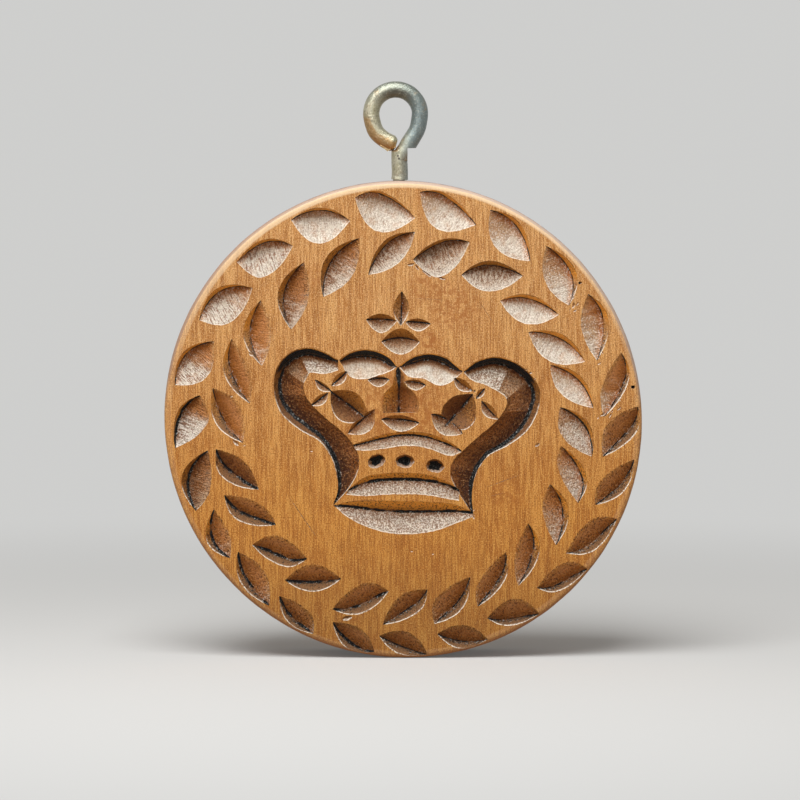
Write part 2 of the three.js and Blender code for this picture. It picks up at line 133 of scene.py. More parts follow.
# The wreath is cut by eye, so every leaf has its own place. A row is one pair, outer leaf and inner leaf,
# clockwise from the top. Each leaf has its heel x and z, its tip x and z, how far its edges bulge towards
# the rim and towards the centre, where along it each of the two bulges most, and how far across it the
# crease lies.
LEAF_PAIRS = [
    ([-10.1, 46.4, 2.5, 42.2, 3, 5.2, 0.35, 0.5, 0.07],
     [-7.3, 30.3, 2.5, 39.3, 3, 2.5, 0.55, 0.5, 0.16]),
    ([3.5, 47.6, 15.2, 40.8, 2.5, 4.9, 0.35, 0.5, 0.1],
     [2, 33.5, 13.9, 37.2, 2.3, 5.2, 0.55, 0.35, 0.1]),
    ([18.1, 43.9, 26.5, 33.2, 3.2, 4, 0.45, 0.5, 0.13],
     [12.1, 30.3, 25, 30.1, 3.1, 3.4, 0.45, 0.45, 0.15]),
    ([29.8, 36.4, 34.6, 23.9, 4, 2.9, 0.55, 0.5, 0.17],
     [20.2, 24.9, 32.5, 22, 2.7, 3.5, 0.45, 0.5, 0.15]),
    ([38.6, 26.4, 40.5, 12.4, 3.6, 2.4, 0.4, 0.45, 0.2],
     [26.1, 18.4, 38, 12.2, 2.9, 3.4, 0.5, 0.5, 0.17]),
    ([45.5, 14.2, 42, 0.6, 3.1, 2.1, 0.35, 0.6, 0.17],
     [30.7, 11.5, 39.7, 2.5, 2.9, 2.7, 0.5, 0.45, 0.17]),
    ([49.1, 2.9, 41.8, -7.7, 2.9, 3.3, 0.35, 0.55, 0.26],
     [32.8, 2.7, 39.5, -7.7, 3.2, 3.1, 0.5, 0.4, 0.15]),
    ([48.3, -8.2, 40.2, -17.8, 2.8, 2.6, 0.5, 0.65, 0.27],
     [33, -5.4, 36.6, -17.4, 3.4, 2.1, 0.6, 0.35, 0.2]),
    ([44.8, -20.7, 34.1, -27.9, 2.9, 3, 0.6, 0.35, 0.28],
     [30.7, -13.4, 32, -26.3, 3.4, 2.2, 0.45, 0.4, 0.22]),
    ([38.8, -31.2, 28, -35.2, 2.3, 3.1, 0.65, 0.35, 0.26],
     [26.1, -21.6, 24.1, -34.8, 3.4, 1.8, 0.4, 0.55, 0.27]),
    ([28.7, -40.7, 17.6, -41.6, 2, 3.8, 0.6, 0.45, 0.22],
     [21.5, -27.6, 15.6, -39.2, 2.6, 2.3, 0.4, 0.65, 0.25]),
    ([17.8, -46, 7.1, -44.9, 2.7, 2.6, 0.5, 0.5, 0.29],
     [14, -32.9, 6.5, -42.8, 2.8, 3.1, 0.5, 0.65, 0.27]),
    ([5.2, -49.3, -5.1, -45.3, 2.1, 3.1, 0.5, 0.5, 0.3],
     [5.1, -35.5, -4.3, -43, 2.6, 2.6, 0.35, 0.45, 0.33]),
    ([-6, -48.7, -14.8, -42.4, 2.9, 2.4, 0.45, 0.45, 0.27],
     [-3, -35.9, -14.9, -39.7, 2.8, 3.3, 0.55, 0.35, 0.3]),
    ([-18.8, -44.9, -26, -36.9, 2.4, 2.6, 0.5, 0.35, 0.27],
     [-13, -33.3, -24.8, -33.6, 2.6, 3.3, 0.5, 0.5, 0.33]),
    ([-28.1, -39, -34.6, -27.6, 2.8, 2.9, 0.55, 0.5, 0.25],
     [-20.1, -29.1, -31.7, -26.2, 2.8, 3.3, 0.35, 0.6, 0.31]),
    ([-36.3, -29, -39.6, -18.6, 3.6, 1.6, 0.45, 0.4, 0.25],
     [-26.6, -22, -37.5, -15.7, 3.2, 2.3, 0.6, 0.4, 0.34]),
    ([-43.4, -19.1, -40.8, -6.3, 4.4, 2.2, 0.5, 0.4, 0.22],
     [-30.2, -14.6, -39.2, -6.1, 3.4, 2.3, 0.6, 0.5, 0.36]),
    ([-47.7, -5.9, -42.5, 5.2, 2.8, 4.1, 0.6, 0.65, 0.11],
     [-33.5, -4.8, -39.8, 6.7, 3.1, 3.3, 0.5, 0.55, 0.28]),
    ([-47.7, 7.3, -39.5, 16.5, 3.3, 3.9, 0.5, 0.45, 0.1],
     [-32, 3.4, -35.8, 17, 3.6, 1.8, 0.55, 0.4, 0.28]),
    ([-42.6, 20.9, -31.4, 27.6, 3.8, 3.8, 0.5, 0.4, 0.12],
     [-29.5, 11.3, -29.7, 25.1, 3.9, 2.2, 0.5, 0.5, 0.25]),
    ([-34.7, 33, -23, 36.4, 3, 4.6, 0.55, 0.35, 0.1],
     [-23.4, 18.9, -20.7, 33, 4.2, 2.5, 0.5, 0.5, 0.2]),
    ([-23.4, 41.8, -11.1, 41.6, 2.7, 4.9, 0.5, 0.47, 0.08],
     [-16.7, 25.7, -9.2, 38, 3.8, 3, 0.5, 0.5, 0.2]),
]

# The crown's short cuts: the two ends' x and z, the bulge on the steep and on the gentle side, and how far
# across the crease lies
CROWN_LENSES = [
    ("finial top", [-0.5, 19.7, -0.3, 27, 1.8, 1.7], 0.53),
    ("finial left", [-7.8, 21, -1.3, 20.7, 1.5, 2.7], 0.3),
    ("finial right", [0.4, 20.5, 5.8, 20.1, 1, 1.8], 0.3),
    ("ball", [-4.6, 16.4, 3.5, 16.3, 2.9, 2.7], 0.38),
    ("lens under the centre petal", [-4.7, 0.2, 3.5, -0.6, 1.3, 2.3], 0.28),
    ("short lens on the left", [-7.5, 8.4, -2.8, 8.5, 0.8, 1.6], 0.2),
    ("short lens on the right", [0.2, 8, 4.8, 7.3, 0.9, 1.5], 0.25),
    ("left flower, first petal", [-18.5, 8.5, -14.9, 6, 0.5, 1.3], 0.3),
    ("left flower, second petal", [-15.1, 7.1, -11.6, 10.4, 0.9, 1.3], 0.45),
    ("left flower, third petal", [-19.3, 3, -15.6, 5.8, 0.8, 1.4], 0.4),
    ("left flower, large petal", [-15.2, 6, -7.4, 0, 3.1, 3.7], 0.46),
    ("left flower, cross cut", [-11.6, -2.9, -5.9, 2.3, 1.1, 2.7], 0.25),
    ("right flower, first petal", [10.5, 9, 14.6, 6.1, 0.9, 1.6], 0.45),
    ("right flower, second petal", [15.2, 4.4, 17.1, 6.7, 0.8, 0.8], 0.5),
    ("right flower, third petal", [16.3, 4.1, 19.9, 0.1, 0.9, 1.6], 0.4),
    ("right flower, large petal", [14.6, 5.5, 8.1, -2.1, 4.2, 3.2], 0.56),
    ("right flower, cross cut", [5.8, 1.3, 12.5, -2.9, 1.6, 2.5], 0.2),
]

# The crown's long cuts, in stations: x and z of the wall's edge, of the crease and of the floor's edge
CROWN_RUNS = {
    "left arm with the first arch": [
        [-13.5, 12.6, -13.7, 12.3, -13.6, 10.3], [-16.5, 14.3, -16.8, 13.1, -16.3, 9.6],
        [-19.9, 15.2, -20.1, 13.7, -19.5, 9.8], [-23.6, 14.2, -22.8, 12.9, -19.9, 9.2],
        [-26.4, 11.1, -25.1, 10.5, -20.7, 7.5], [-27.1, 6.7, -25.9, 6.7, -20.6, 5.9],
        [-25.7, 1.6, -24.4, 2.5, -19.5, 3.8], [-21.5, -2.2, -20.6, -0.9, -16.1, 0.4],
        [-17.5, -4.5, -17.1, -3.6, -12.4, -2.7], [-15.1, -7.8, -14.5, -7.6, -9.5, -6.7],
        [-14, -11.3, -13.5, -11.1, -9.2, -10], [-13.7, -14.7, -13.4, -14.4, -11.1, -14],
        [-14.7, -17.8, -14.5, -17.6, -14, -17.3],
    ],
    "second arch": [
        [-13.5, 12.6, -13.1, 12.4, -12.2, 10.3], [-11.1, 14.2, -10.9, 13, -10.7, 8.8],
        [-7.8, 14.9, -7.8, 13.2, -7.8, 8.5], [-4.4, 14.1, -4.6, 12.6, -4.8, 9.4],
        [-2.3, 12.7, -2.8, 11.5, -2.8, 10.1], [-1.1, 11.2, -1.3, 11.1, -1.3, 11.1],
    ],
    "third arch": [
        [-1, 11.3, -0.8, 11.1, -0.7, 10.9], [1.6, 13.1, 2, 11.9, 1, 9.1],
        [5.2, 14, 5.4, 12.7, 4.1, 8.6], [8.9, 13.2, 8.7, 11.7, 7.7, 7.1],
        [11, 11.6, 10.6, 10.7, 10.2, 8], [12.6, 10.3, 12.4, 10.2, 12.1, 9.8],
    ],
    "right arm with the fourth arch": [
        [12.6, 10.3, 12.8, 10.1, 12.7, 9.8], [15.2, 12.3, 15.4, 11.1, 14.4, 8.2],
        [19.2, 13.3, 19.2, 11.9, 16.9, 7.4], [22.9, 12.4, 22.1, 11.1, 19.8, 5.9],
        [26.5, 9.8, 25.2, 9, 21.3, 4.8], [28.6, 6.3, 27.2, 6.1, 21.6, 3.6],
        [28.2, 1.9, 26.7, 2.5, 21.1, 2.1], [25.9, -2.3, 24.9, -1.2, 19, -0.6],
        [21.9, -5.4, 21.6, -4.6, 15.6, -3.5], [17.9, -7.5, 17.6, -7, 12.7, -6.1],
        [15.6, -10.5, 15.3, -10.1, 10.2, -8.8], [14.6, -13.8, 14.2, -13.6, 9.8, -11.5],
        [14.4, -16.8, 14.2, -16.5, 11.5, -15.1], [14.8, -20.1, 14.4, -19.3, 13.6, -18.4],
    ],
    "centre petal": [
        [-1.3, 11.1, -1.1, 11.1, -0.9, 11.1], [-2, 9.4, -1, 9.4, 0.1, 9.4],
        [-2.3, 7.5, -0.9, 7.5, 0.6, 7.3], [-4, 5.5, -0.9, 5.5, 2.5, 5.5],
        [-4.4, 3.4, -0.9, 3.4, 3.3, 3.6], [-4.2, 1.5, -0.9, 1.3, 3.2, 1.7],
    ],
    "upper band": [
        [-10.5, -5, -10.4, -5.4, -10.1, -6.3], [-8, -4.2, -8, -4.8, -7.8, -6.5],
        [-4.4, -3, -4.4, -3.9, -4.4, -6.1], [-0.3, -2.4, -0.3, -3.2, -0.3, -5.5],
        [3.9, -2.5, 3.9, -3.4, 3.9, -5.7], [7.7, -3.5, 7.7, -4.5, 7.7, -6.9],
        [10.2, -4.8, 10.2, -5.5, 9.8, -7.6], [12.3, -6.4, 12.2, -6.5, 12.1, -6.8],
    ],
    "lower band": [
        [-11.3, -14.4, -11.6, -14.7, -12, -15.7], [-8, -11.9, -8, -13.2, -8, -16],
        [-3.8, -11.1, -3.8, -12.6, -3.8, -15.7], [0.4, -11, 0.4, -12.5, 0.4, -15.6],
        [4.6, -11.3, 4.6, -12.7, 4.6, -15.8], [8.3, -12.4, 8.3, -13.4, 8.3, -16.4],
        [11.7, -14.4, 11.7, -14.7, 11.7, -17],
    ],
    "foot": [
        [-14.6, -17.8, -14.5, -17.9, -14.5, -18], [-11.1, -17, -11.1, -18.2, -11.8, -20.3],
        [-5.9, -16.8, -5.9, -18.9, -6.5, -22.9], [-0.7, -16.9, -0.7, -19.3, -0.3, -24],
        [5.6, -17.1, 5.6, -19.3, 6.2, -23.4], [10.8, -17.6, 10.8, -19.2, 11.1, -21.7],
        [14.6, -19.3, 14.4, -19.4, 14.8, -20.3],
    ],
}

# The three pits between the crown's bands: x, z and tilt
CROWN_PITS = [
    [-5.6, -8.6, 20],
    [0.4, -8.6, 0],
    [6.7, -9.6, -8],
]

# How each long cut looks: the half widths of the black grime and painted shade in its crease, low down and
# near its top; how torn and how pitted its floor is; how much painted shade blackens its wall where it faces
# down; and the stations where the carver's facets start, each with how stained the floor is from there on.
RUN_LOOKS = {
    "left arm with the first arch": ((0.6, 0.3), 0.03, 1, 1, (
        (0, 0.05), (2.5, 0.5), (4, 0.8), (5.4, 1), (7.3, 0.85), (9.2, 1), (12, 0.8))),
    "second arch": ((0.2, 0.2), 0.04, 0.35, 1, ((0, 0.1),)),
    "third arch": ((0.2, 0.2), 0.04, 0.35, 1, ((0, 0),)),
    "right arm with the fourth arch": ((0.6, 0.3), 0.03, 1, 1, (
        (0, 0.05), (3, 0.5), (4.4, 0.75), (6.2, 0.95), (8.4, 0.75), (10.3, 1), (13, 0.85))),
    "centre petal": ((0.34, 0.8), 0.03, 0.6, 0, ((0, 0.35),)),
    "upper band": ((0.3, 0.3), 0.03, 0.9, 0, ((0, 0.1),)),
    "lower band": ((0.52, 0.52), 0.03, 1, 0, ((0, 0.08),)),
    "foot": ((0.5, 0.5), 0.04, 1, 0, ((0, 0.04),)),
}

# Damage on the face: x, z, half length, half width, depth, tilt, and how black it is inside
MARKS = [
    [1.6, 32.5, 0.8, 0.28, 0.3, 8, 0],
    [2.9, 31.9, 0.6, 0.2, 0.25, -60, 0],
    [5.2, 30.4, 1.2, 0.2, 0.25, -35, 0],
    [8.2, 29.6, 0.7, 0.25, 0.25, -15, 0],
    [48, 6.9, 0.45, 0.4, 0.9, 0, 1],
    [36.9, 28.7, 0.35, 0.3, 0.6, 0, 1],
    [-11.8, -41.6, 0.9, 0.5, 0.3, 20, 0],
    [-35, -4.8, 0.8, 0.4, 0.3, -50, 0],
    [-31.8, 13.8, 0.6, 0.35, 0.25, -60, 0],
    [28, -5.2, 0.6, 0.3, 0.25, 40, 0],
    [14.9, 6.1, 0.3, 0.28, 0.4, 0, 0.8],
    [1.8, -27.5, 0.25, 0.2, 0.15, 0, 0],
    [6.2, -28.1, 0.25, 0.2, 0.15, 0, 0],
    [-19.1, -6.5, 0.25, 0.2, 0.15, 0, 0],
]

# Torn places, each a scatter of tiny chips along a line: x and z of both ends, and how many chips
TORN = [
    [35, 26.8, 36.2, 22.6, 18],
    [41.6, 16, 41, 11.4, 18],
    [45.6, 4.6, 42.2, 0.4, 16],
    [1, 33, 4, 32.2, 8],
    [-36.8, -4.2, -33.6, -5.4, 9],
    [-35.6, 5.8, -38.4, 2.6, 5],
    [14.2, -20, 14.9, -20.6, 4],
    [25.4, 10.4, 27.4, 9, 4],
]
TORN_SPREAD = 0.55
CHIP_SIZES = (0.15, 0.42)
CHIP_SHAPE = (2, 0.7, 0.5)  # half length, half width and depth of a chip of size 1
CHIP_TILTS = (20, 90)
CHIP_GAP = 0.03

# Scratches on the face: x and z of both ends, and the width
SCRATCHES = [
    [-25.2, -14.2, -17, -26.2, 0.22],
    [15.2, 25.9, 19.8, 18.8, 0.18],
    [1.4, 25.5, 9.8, 25.1, 0.16],
    [16.5, -14.4, 25.8, -11, 0.18],
    [17.2, -16.2, 21.5, -15.2, 0.14],
]
SCRATCH_GRIME = 0.5  # how black they are inside

# Scuffed, reddish places on the face: x, z, radius and strength
SCUFFS = [
    [5, 28, 6, 0.7],
    [10.5, 23.5, 7.5, 0.8],
    [21.3, -15.7, 5, 0.6],
    [5.6, 16.6, 3, 0.9],
    [0, 3, 15, 0.75],
    [-19, 30.5, 4, 0.5],
    [-10, -40.5, 3, 0.6],
]

# What the material is told at each point of a hollow: the distances from the crease and from the upper edge,
# how black the grime and painted shade are, whether it is wall, and how stained, how hatched with strokes
# and how pitted it is
FACTS = ("crease", "lip", "grime", "wall", "stain", "hatched", "pitted")

# Colours that are used more than once
CHALK = (0.95, 0.89, 0.81)
PEPPER = (0.22, 0.115, 0.07)
# painted shade, for the light falling off towards the foot of the mould
LOW_SHADE = (0.68, 0.69, 0.7)


def place(points):
    """Turns millimetres from the disc's centre into the model's metres."""
    return np.asarray(points, float) * MM + DISC_CENTRE


def smoothstep(value, low, high):
    share = np.clip((value - low) / (high - low), 0, 1)
    return share * share * (3 - 2 * share)


def ripple(points, size, seed):
    """Smooth noise from -1 to 1 at points, with bumps of about that size."""
    return np.array([noise.noise(Vector(p) / size + Vector((seed, 2 * seed, -seed))) for p in points])


def circle(sides):
    return np.linspace(0, 2 * math.pi, sides, endpoint=False)


# Camera
camera = bpy.data.objects.new("camera", bpy.data.cameras.new("camera"))
bpy.context.scene.collection.objects.link(camera)
camera.data.lens = CAMERA_LENS
tilt = math.radians(CAMERA_TILT)
camera.location = Vector(CAMERA_TARGET) + CAMERA_DISTANCE * Vector((0, -math.cos(tilt), math.sin(tilt)))
camera.rotation_euler = (math.pi / 2 - tilt, 0, 0)
bpy.context.scene.camera = camera
bpy.context.scene.view_settings.view_transform = "Standard"


# Materials
class Field:
    """A value that a material works out at each point. Fields add, subtract and multiply like numbers."""

    def __init__(self, socket):
        self.socket = socket
        self.tree = socket.id_data

    def __add__(self, other):
        return calc("ADD", self, other)

    def __sub__(self, other):
        return calc("SUBTRACT", self, other)

    def __rsub__(self, other):
        return calc("SUBTRACT", other, self)

    def __mul__(self, other):
        return calc("MULTIPLY", self, other)


def plug(value, socket):
    """Gives a node's input a field, a number, a vector or a colour."""
    if isinstance(value, Field):
        value.tree.links.new(value.socket, socket)
    else:
        socket.default_value = (*value, 1) if socket.type == "RGBA" else value


def add(tree, kind, values=None, **settings):
    """Adds a node, and returns its outputs."""
    made = tree.nodes.new("ShaderNode" + kind)
    for key, setting in settings.items():
        setattr(made, key, setting)
    for key, value in (values or {}).items():
        plug(value, made.inputs[key])
    return made.outputs


def field(tree, kind, values=None, output=0, **settings):
    return Field(add(tree, kind, values, **settings)[output])


def calc(operation, *values):
    tree = next(value.tree for value in values if isinstance(value, Field))
    return field(tree, "Math", dict(enumerate(values)), operation=operation)


def ease(value, low, high, start=0.0, end=1.0):
    """A smooth step from start to end, as value goes from low to high."""
    values = {"Value": value, "From Min": low, "From Max": high, "To Min": start, "To Max": end}
    return field(value.tree, "MapRange", values, interpolation_type="SMOOTHSTEP")


def mix(first, second, share, blend="MIX"):
    """The first colour where share is 0, and the second where it is 1."""
    return field(share.tree, "Mix", {0: share, 6: first, 7: second}, 2, data_type="RGBA", blend_type=blend)


def stretch(points, scale):
    return field(points.tree, "VectorMath", {0: points, 1: scale}, operation="MULTIPLY")


def distance(points, spot=(0, 0, 0)):
    return field(points.tree, "VectorMath", {0: points, 1: spot}, "Value", operation="DISTANCE")


def split(vector):
    """A vector's x, y and z."""
    return [Field(output) for output in add(vector.tree, "SeparateXYZ", {0: vector})]


def facing(tree):
    """How far the surface faces right, back and up."""
    return split(field(tree, "NewGeometry", output="Normal"))


def grain(points, scale, detail, roughness=0.5):
    """Noise from about 0 to 1, with scale bumps to the millimetre along each axis."""
    values = {"Vector": stretch(points, scale), "Scale": 1.0, "Detail": detail, "Roughness": roughness}
    return field(points.tree, "TexNoise", values)


def bump(relief, depth):
    return field(relief.tree, "Bump", {"Height": relief, "Distance": depth * MM, "Strength": 1.0})


def new_material(name, look):
    """A material. Its look turns points, in millimetres from the disc's centre, into the shader's inputs."""
    material = bpy.data.materials.new(name)
    material.use_nodes = True
    tree = material.node_tree
    spots = field(tree, "TexCoord", output="Object")
    centred = field(tree, "VectorMath", {0: spots, 1: tuple(DISC_CENTRE)}, operation="SUBTRACT")
    for key, value in look(stretch(centred, (1 / MM, 1 / MM, 1 / MM))).items():
        plug(value, tree.nodes["Principled BSDF"].inputs[key])
    return material


def coats(colour, *layers):
    """Lays coats over a colour, each with its own colour and how far it covers."""
    for coat, share in layers:
        colour = mix(colour, coat, share)
    return colour


def wood_colour(points):
    """The turned wood's honey brown, with its fibres and growth bands along z. Painted shade makes it
    browner low down.
    """
    bands = grain(points, (0.35, 0.35, 0.01), 3)
    streaks = grain(points, (1.5, 1.5, 0.07), 2, 0.6)
    fibres = grain(points, (4.6, 4.6, 0.3), 1)
    flecks = grain(points, (6, 6, 3.2), 1)
    clouds = grain(points, (0.22, 0.22, 0.14), 4, 0.65)
    lumps = grain(points, (0.9, 0.9, 0.8), 3, 0.7)
    height = split(points)[2]
    colour = coats(
        mix((0.5, 0.222, 0.056), (0.594, 0.298, 0.092), ease(bands, 0.38, 0.62)),
        ((0.43, 0.167, 0.034), ease(clouds, 0.42, 0.62, 0, 0.6)),
        ((0.7, 0.39, 0.15), ease(streaks, 0.5, 0.64, 0, 0.4)),
        ((0.33, 0.13, 0.028), ease(streaks, 0.5, 0.36, 0, 0.4)),
        ((0.74, 0.45, 0.19), ease(fibres, 0.48, 0.7, 0, 0.55)),
        ((0.27, 0.098, 0.018), ease(fibres, 0.52, 0.3, 0, 0.55)),
        ((0.2, 0.07, 0.014), ease(flecks, 0.48, 0.3, 0, 0.75)),
        ((0.8, 0.56, 0.3), ease(flecks, 0.52, 0.7, 0, 0.6)))
    for x, z, radius, strength in SCUFFS:
        scuffed = ease(distance(points, (x, FACE_Y, z)), radius, 0.3 * radius, 0, strength)
        colour = mix(colour, (0.36, 0.125, 0.028), scuffed * ease(lumps, 0.45, 0.6))
    # Painted shade: darker and browner lower down, and darker still near the foot, as the light from above
    # falls off.
    colour = mix(colour, (0.9, 0.74, 0.35), ease(height, 30, -25, 0, 0.9), "MULTIPLY")
    return mix(colour, LOW_SHADE, ease(height, -20, -46, 0, 0.85), "MULTIPLY"), fibres, flecks


def turned_wood(points):
    """The wood's outside: browner on its side, and darker there with painted shade except on the right; a
    rim round the face worn pale and with a painted highlight growing towards the top; upper edges worn and
    with a pinkish painted highlight; a painted sheen where its top is seen at a slant; and painted shade
    where it faces down."""
    colour, fibres, flecks = wood_colour(points)
    right, back, up = facing(points.tree)
    flat = calc("ABSOLUTE", back)
    height = split(points)[2]
    radius = distance(stretch(points, (1, 0, 1)))
    worn_lit_rim = ease(radius, *WORN_LIT_RIM) * ease(height, 5, 46, 0.1, 0.75) * ease(flat, 0.3, 0.8)
    pinkish = mix((0.33, 0.215, 0.16), (0.46, 0.35, 0.29), ease(right, -0.5, 0.2))
    worn_and_lit = ease(up, 0, 0.2, 0, 0.85) * ease(flat, 0.05, 0.3) * ease(flat, 0.95, 0.82)
    slant = ease(field(points.tree, "LayerWeight", {"Blend": 0.5}, "Facing"), 0.5, 0.9)
    colour = coats(
        colour,
        # the side browner, and darker with painted shade except on the right
        ((0.32, 0.13, 0.04), ease(flat, 0.5, 0.1) * ease(right, 0.1, 0.7, 0.6, 0.3)),
        # wear and a painted highlight round the face's rim, growing towards the top
        ((0.86, 0.66, 0.43), worn_lit_rim),
        # wear and a pinkish painted highlight on the upper edges, darker towards the left
        (pinkish, worn_and_lit),
        # a painted sheen where the top is seen at a slant
        ((0.27, 0.215, 0.22), ease(up, 0.4, 0.9, 0, 0.95) * slant),
        # painted shade where the wood faces down
        ((0.24, 0.08, 0.022), ease(up, -0.1, -0.7, 0, 0.5)))
    return {
        "Base Color": colour,
        "Specular IOR Level": 0.35,
        "Roughness": ease(fibres, 0.3, 0.7, 0.38, 0.5),
        "Normal": bump(fibres * 0.5 + flecks, 0.07),
    }


def hollow(points):
    """What the looks of carved wood depend on: its facts, its slope and its patterns."""
    tree = points.tree
    at = SimpleNamespace(
        **{name: field(tree, "Attribute", output="Fac", attribute_name=name) for name in FACTS})
    stroke = field(tree, "Attribute", output="Vector", attribute_name="stroke")
    at.right, _, at.up = facing(tree)
    at.height = split(points)[2]
    at.speckle = grain(points, (2.5, 2.5, 2.2), 3, 0.7)
    at.grit = grain(points, (3.2, 3.2, 2.8), 1)
    at.pepper = grain(points, (5.5, 5.5, 5), 1)
    at.patches = grain(points, (0.5, 0.5, 0.4), 3)
    at.hatch = grain(stroke, (4, 0.5, 1), 1, 0.6)
    at.gouges = grain(stroke, (2, 0.6, 1), 2, 0.6)
    at.floor = 1 - at.wall
    at.texture = at.pitted * 0.7 + 0.3
    return at


def stained_wood(at, colour):
    """What faces down: brown with stain, painted shade near the crease, and golden painted light on the
    steep walls under a dark upper edge.
    """
    deep = mix((0.3, 0.092, 0.011), (0.38, 0.128, 0.019), ease(at.patches, 0.35, 0.65))
    shallow = mix((0.47, 0.19, 0.056), (0.55, 0.235, 0.082), ease(at.patches, 0.35, 0.65))
    stained = mix(deep, shallow, ease(at.crease, 0.4, 3))
    # Painted light: walls that face down lie in shade, so they are painted a bright gold, brightest near the
    # lip.
    lit_wall = at.wall * (1 - at.stain) * ease(at.up, 0.1, -0.3, 0, 0.85)
    lit_wall_gold = mix((1, 0.43, 0.065), (0.62, 0.25, 0.04), ease(at.lip, 0.7, 2.2))
    edge_line = lit_wall * ease(at.lip, 0.24, 0.06) * ease(at.patches, 0.4, 0.55)
    dark_specks = ease(at.speckle, 0.48, 0.39, 0, 0.9) * at.texture
    light_specks = ease(at.grit, 0.54, 0.64, 0, 0.6) * at.texture * at.floor
    shade = ease(at.crease, 1.5, 0, 0, 0.5) * ease(at.up, 0.1, -0.15)
    return coats(
        colour,
        (stained, ease(at.lip, 0, 1.5) * at.floor),
        (lit_wall_gold, lit_wall),
        ((0.13, 0.05, 0.01), edge_line),
        ((0.085, 0.026, 0.006), dark_specks),
        ((0.56, 0.27, 0.1), light_specks),
        ((0.07, 0.02, 0.004), shade * calc("MAXIMUM", at.floor * 0.6, at.stain)))


def pale_wood(at):
    """What faces up: pale with flour and wear and with a painted sheen, paler the more it faces up, redder
    close to the crease, with dark strokes and specks.
    """
    # The paleness that grows as a floor faces up is partly flour and partly a painted sheen of the light
    # from above.
    near = mix((0.54, 0.19, 0.055), (0.6, 0.32, 0.17), ease(at.up, 0.08, 0.34))
    far = mix((0.5, 0.315, 0.175), (0.69, 0.63, 0.535), ease(at.up, 0.08, 0.34))
    raked = ease(at.crease, 3, 0.3, 0, -0.07) * at.pitted + (at.hatched * -0.05 + at.hatch)
    scraped = ease(raked, 0.44, 0.37) * (at.hatched * 0.7 + 0.15)
    pocked = ease(at.speckle, 0.44, 0.37, 0, 0.9) * at.texture
    torn = ease(at.pitted * at.hatched, 0.3, 0.8)
    gouged = ease(at.gouges, 0.51, 0.43) * ease(at.crease, 4, 1) * torn
    coarse = ease(at.pitted, 0.92, 1)
    return coats(
        mix(near, far, ease(at.crease, 0.1, 1.7)),
        ((0.56, 0.37, 0.24), ease(at.patches, 0.48, 0.62, 0, 0.5)),
        ((0.24, 0.11, 0.055), scraped),
        ((0.26, 0.135, 0.08), pocked),
        ((0.17, 0.07, 0.034), gouged),
        (CHALK, ease(at.gouges, 0.51, 0.6, 0, 0.7) * torn),
        ((0.92, 0.86, 0.77), torn * ease(at.lip, 2.4, 0.4, 0, 0.7)),
        (PEPPER, ease(at.pepper, 0.5, 0.38, 0, 0.95) * at.pitted),
        (PEPPER, coarse * ease(at.grit, 0.48, 0.4, 0, 0.5)),
        (CHALK, ease(at.grit, 0.51, 0.62) * (coarse * 0.25 + 0.5)))


def carved_wood(points):
    """The hollows: rough, stained wood with black grime and painted shade in the creases, lips worn pale
    with a painted highlight, and floors that face up pale with flour and a painted sheen.
    """
    at = hollow(points)
    lit = at.right * ease(at.height, -14, 6, -0.1, 0.25) + at.up
    # Floors that face the light from above are painted pale: flour, and a painted sheen.
    flour_and_sheen = ease(lit, -0.12, 0.24) * ease(at.crease, -0.4, 0.4) * (0.98 - at.stain * 0.95)
    colour = mix(stained_wood(at, wood_colour(points)[0]), pale_wood(at), flour_and_sheen * at.floor)

    # Stained floors are dark with stain, and darker along the crease with painted shade, with black and
    # light specks.
    stain_and_crease_shade = at.stain * ease(at.crease, 4.8, 0.8) * 0.56 + at.stain * 0.42
    colour = mix(colour, (0.06, 0.018, 0.003), stain_and_crease_shade)
    colour = mix(colour, (1, 0.75, 0.38), at.stain, "MULTIPLY")
    rough = at.stain * at.pitted
    colour = mix(colour, (0.035, 0.011, 0.002), ease(at.pepper, 0.5, 0.38) * rough)
    colour = mix(colour, (0.42, 0.2, 0.075), ease(at.speckle, 0.53, 0.63, 0, 0.7) * rough)

    # A wall that faces up is grey with dust, and blotched with black towards the crease.
    dust = mix((0.17, 0.088, 0.042), (0.25, 0.13, 0.062), ease(at.crease, 0.1, 1.4))
    dust = mix(dust, (0.24, 0.095, 0.03), at.stain)
    colour = mix(colour, dust, at.wall * ease(at.up, 0.1, 0.55, 0, 0.85))
    blotch = ease(at.crease, 0.8, 0, -0.18, 0) + (at.grit - 0.5)
    blotched = ease(blotch, -0.07, 0) * ease(at.up, -0.1, 0.3) * at.wall
    colour = mix(colour, (0.022, 0.019, 0.017), blotched * 0.9)

    # Low floors get painted shade, lips that face up are worn pale with a painted highlight, and grime and
    # painted shade with a few painted glints fill creases.
    colour = mix(colour, LOW_SHADE, ease(at.height, -34, -44, 0, 0.8) * at.floor, "MULTIPLY")
    worn_and_lit = ease(at.lip, 0.36, 0.1) * ease(at.up, 0.04, 0.3) * ease(at.speckle, 0.38, 0.48)
    black_grime_and_shade = ease(at.grime + at.speckle * 0.8, 0.72, 1)
    glint = ease(at.speckle, 0.57, 0.65) * ease(at.up, -0.5, 0.1) * ease(at.crease, 0.75, 0.2)
    relief = at.speckle * (at.texture * 0.8) + at.hatch * (at.hatched * 0.45 + 0.1)
    return {
        "Base Color": coats(
            colour,
            ((0.95, 0.87, 0.75), worn_and_lit),
            ((0.01, 0.01, 0.01), black_grime_and_shade),
            ((0.48, 0.5, 0.49), glint * 0.85)),
        "Specular IOR Level": 0.25,
        "Roughness": ease(at.speckle, 0.3, 0.7, 0.38, 0.52) - black_grime_and_shade * 0.14,
        "Normal": bump(relief, 0.8),
    }


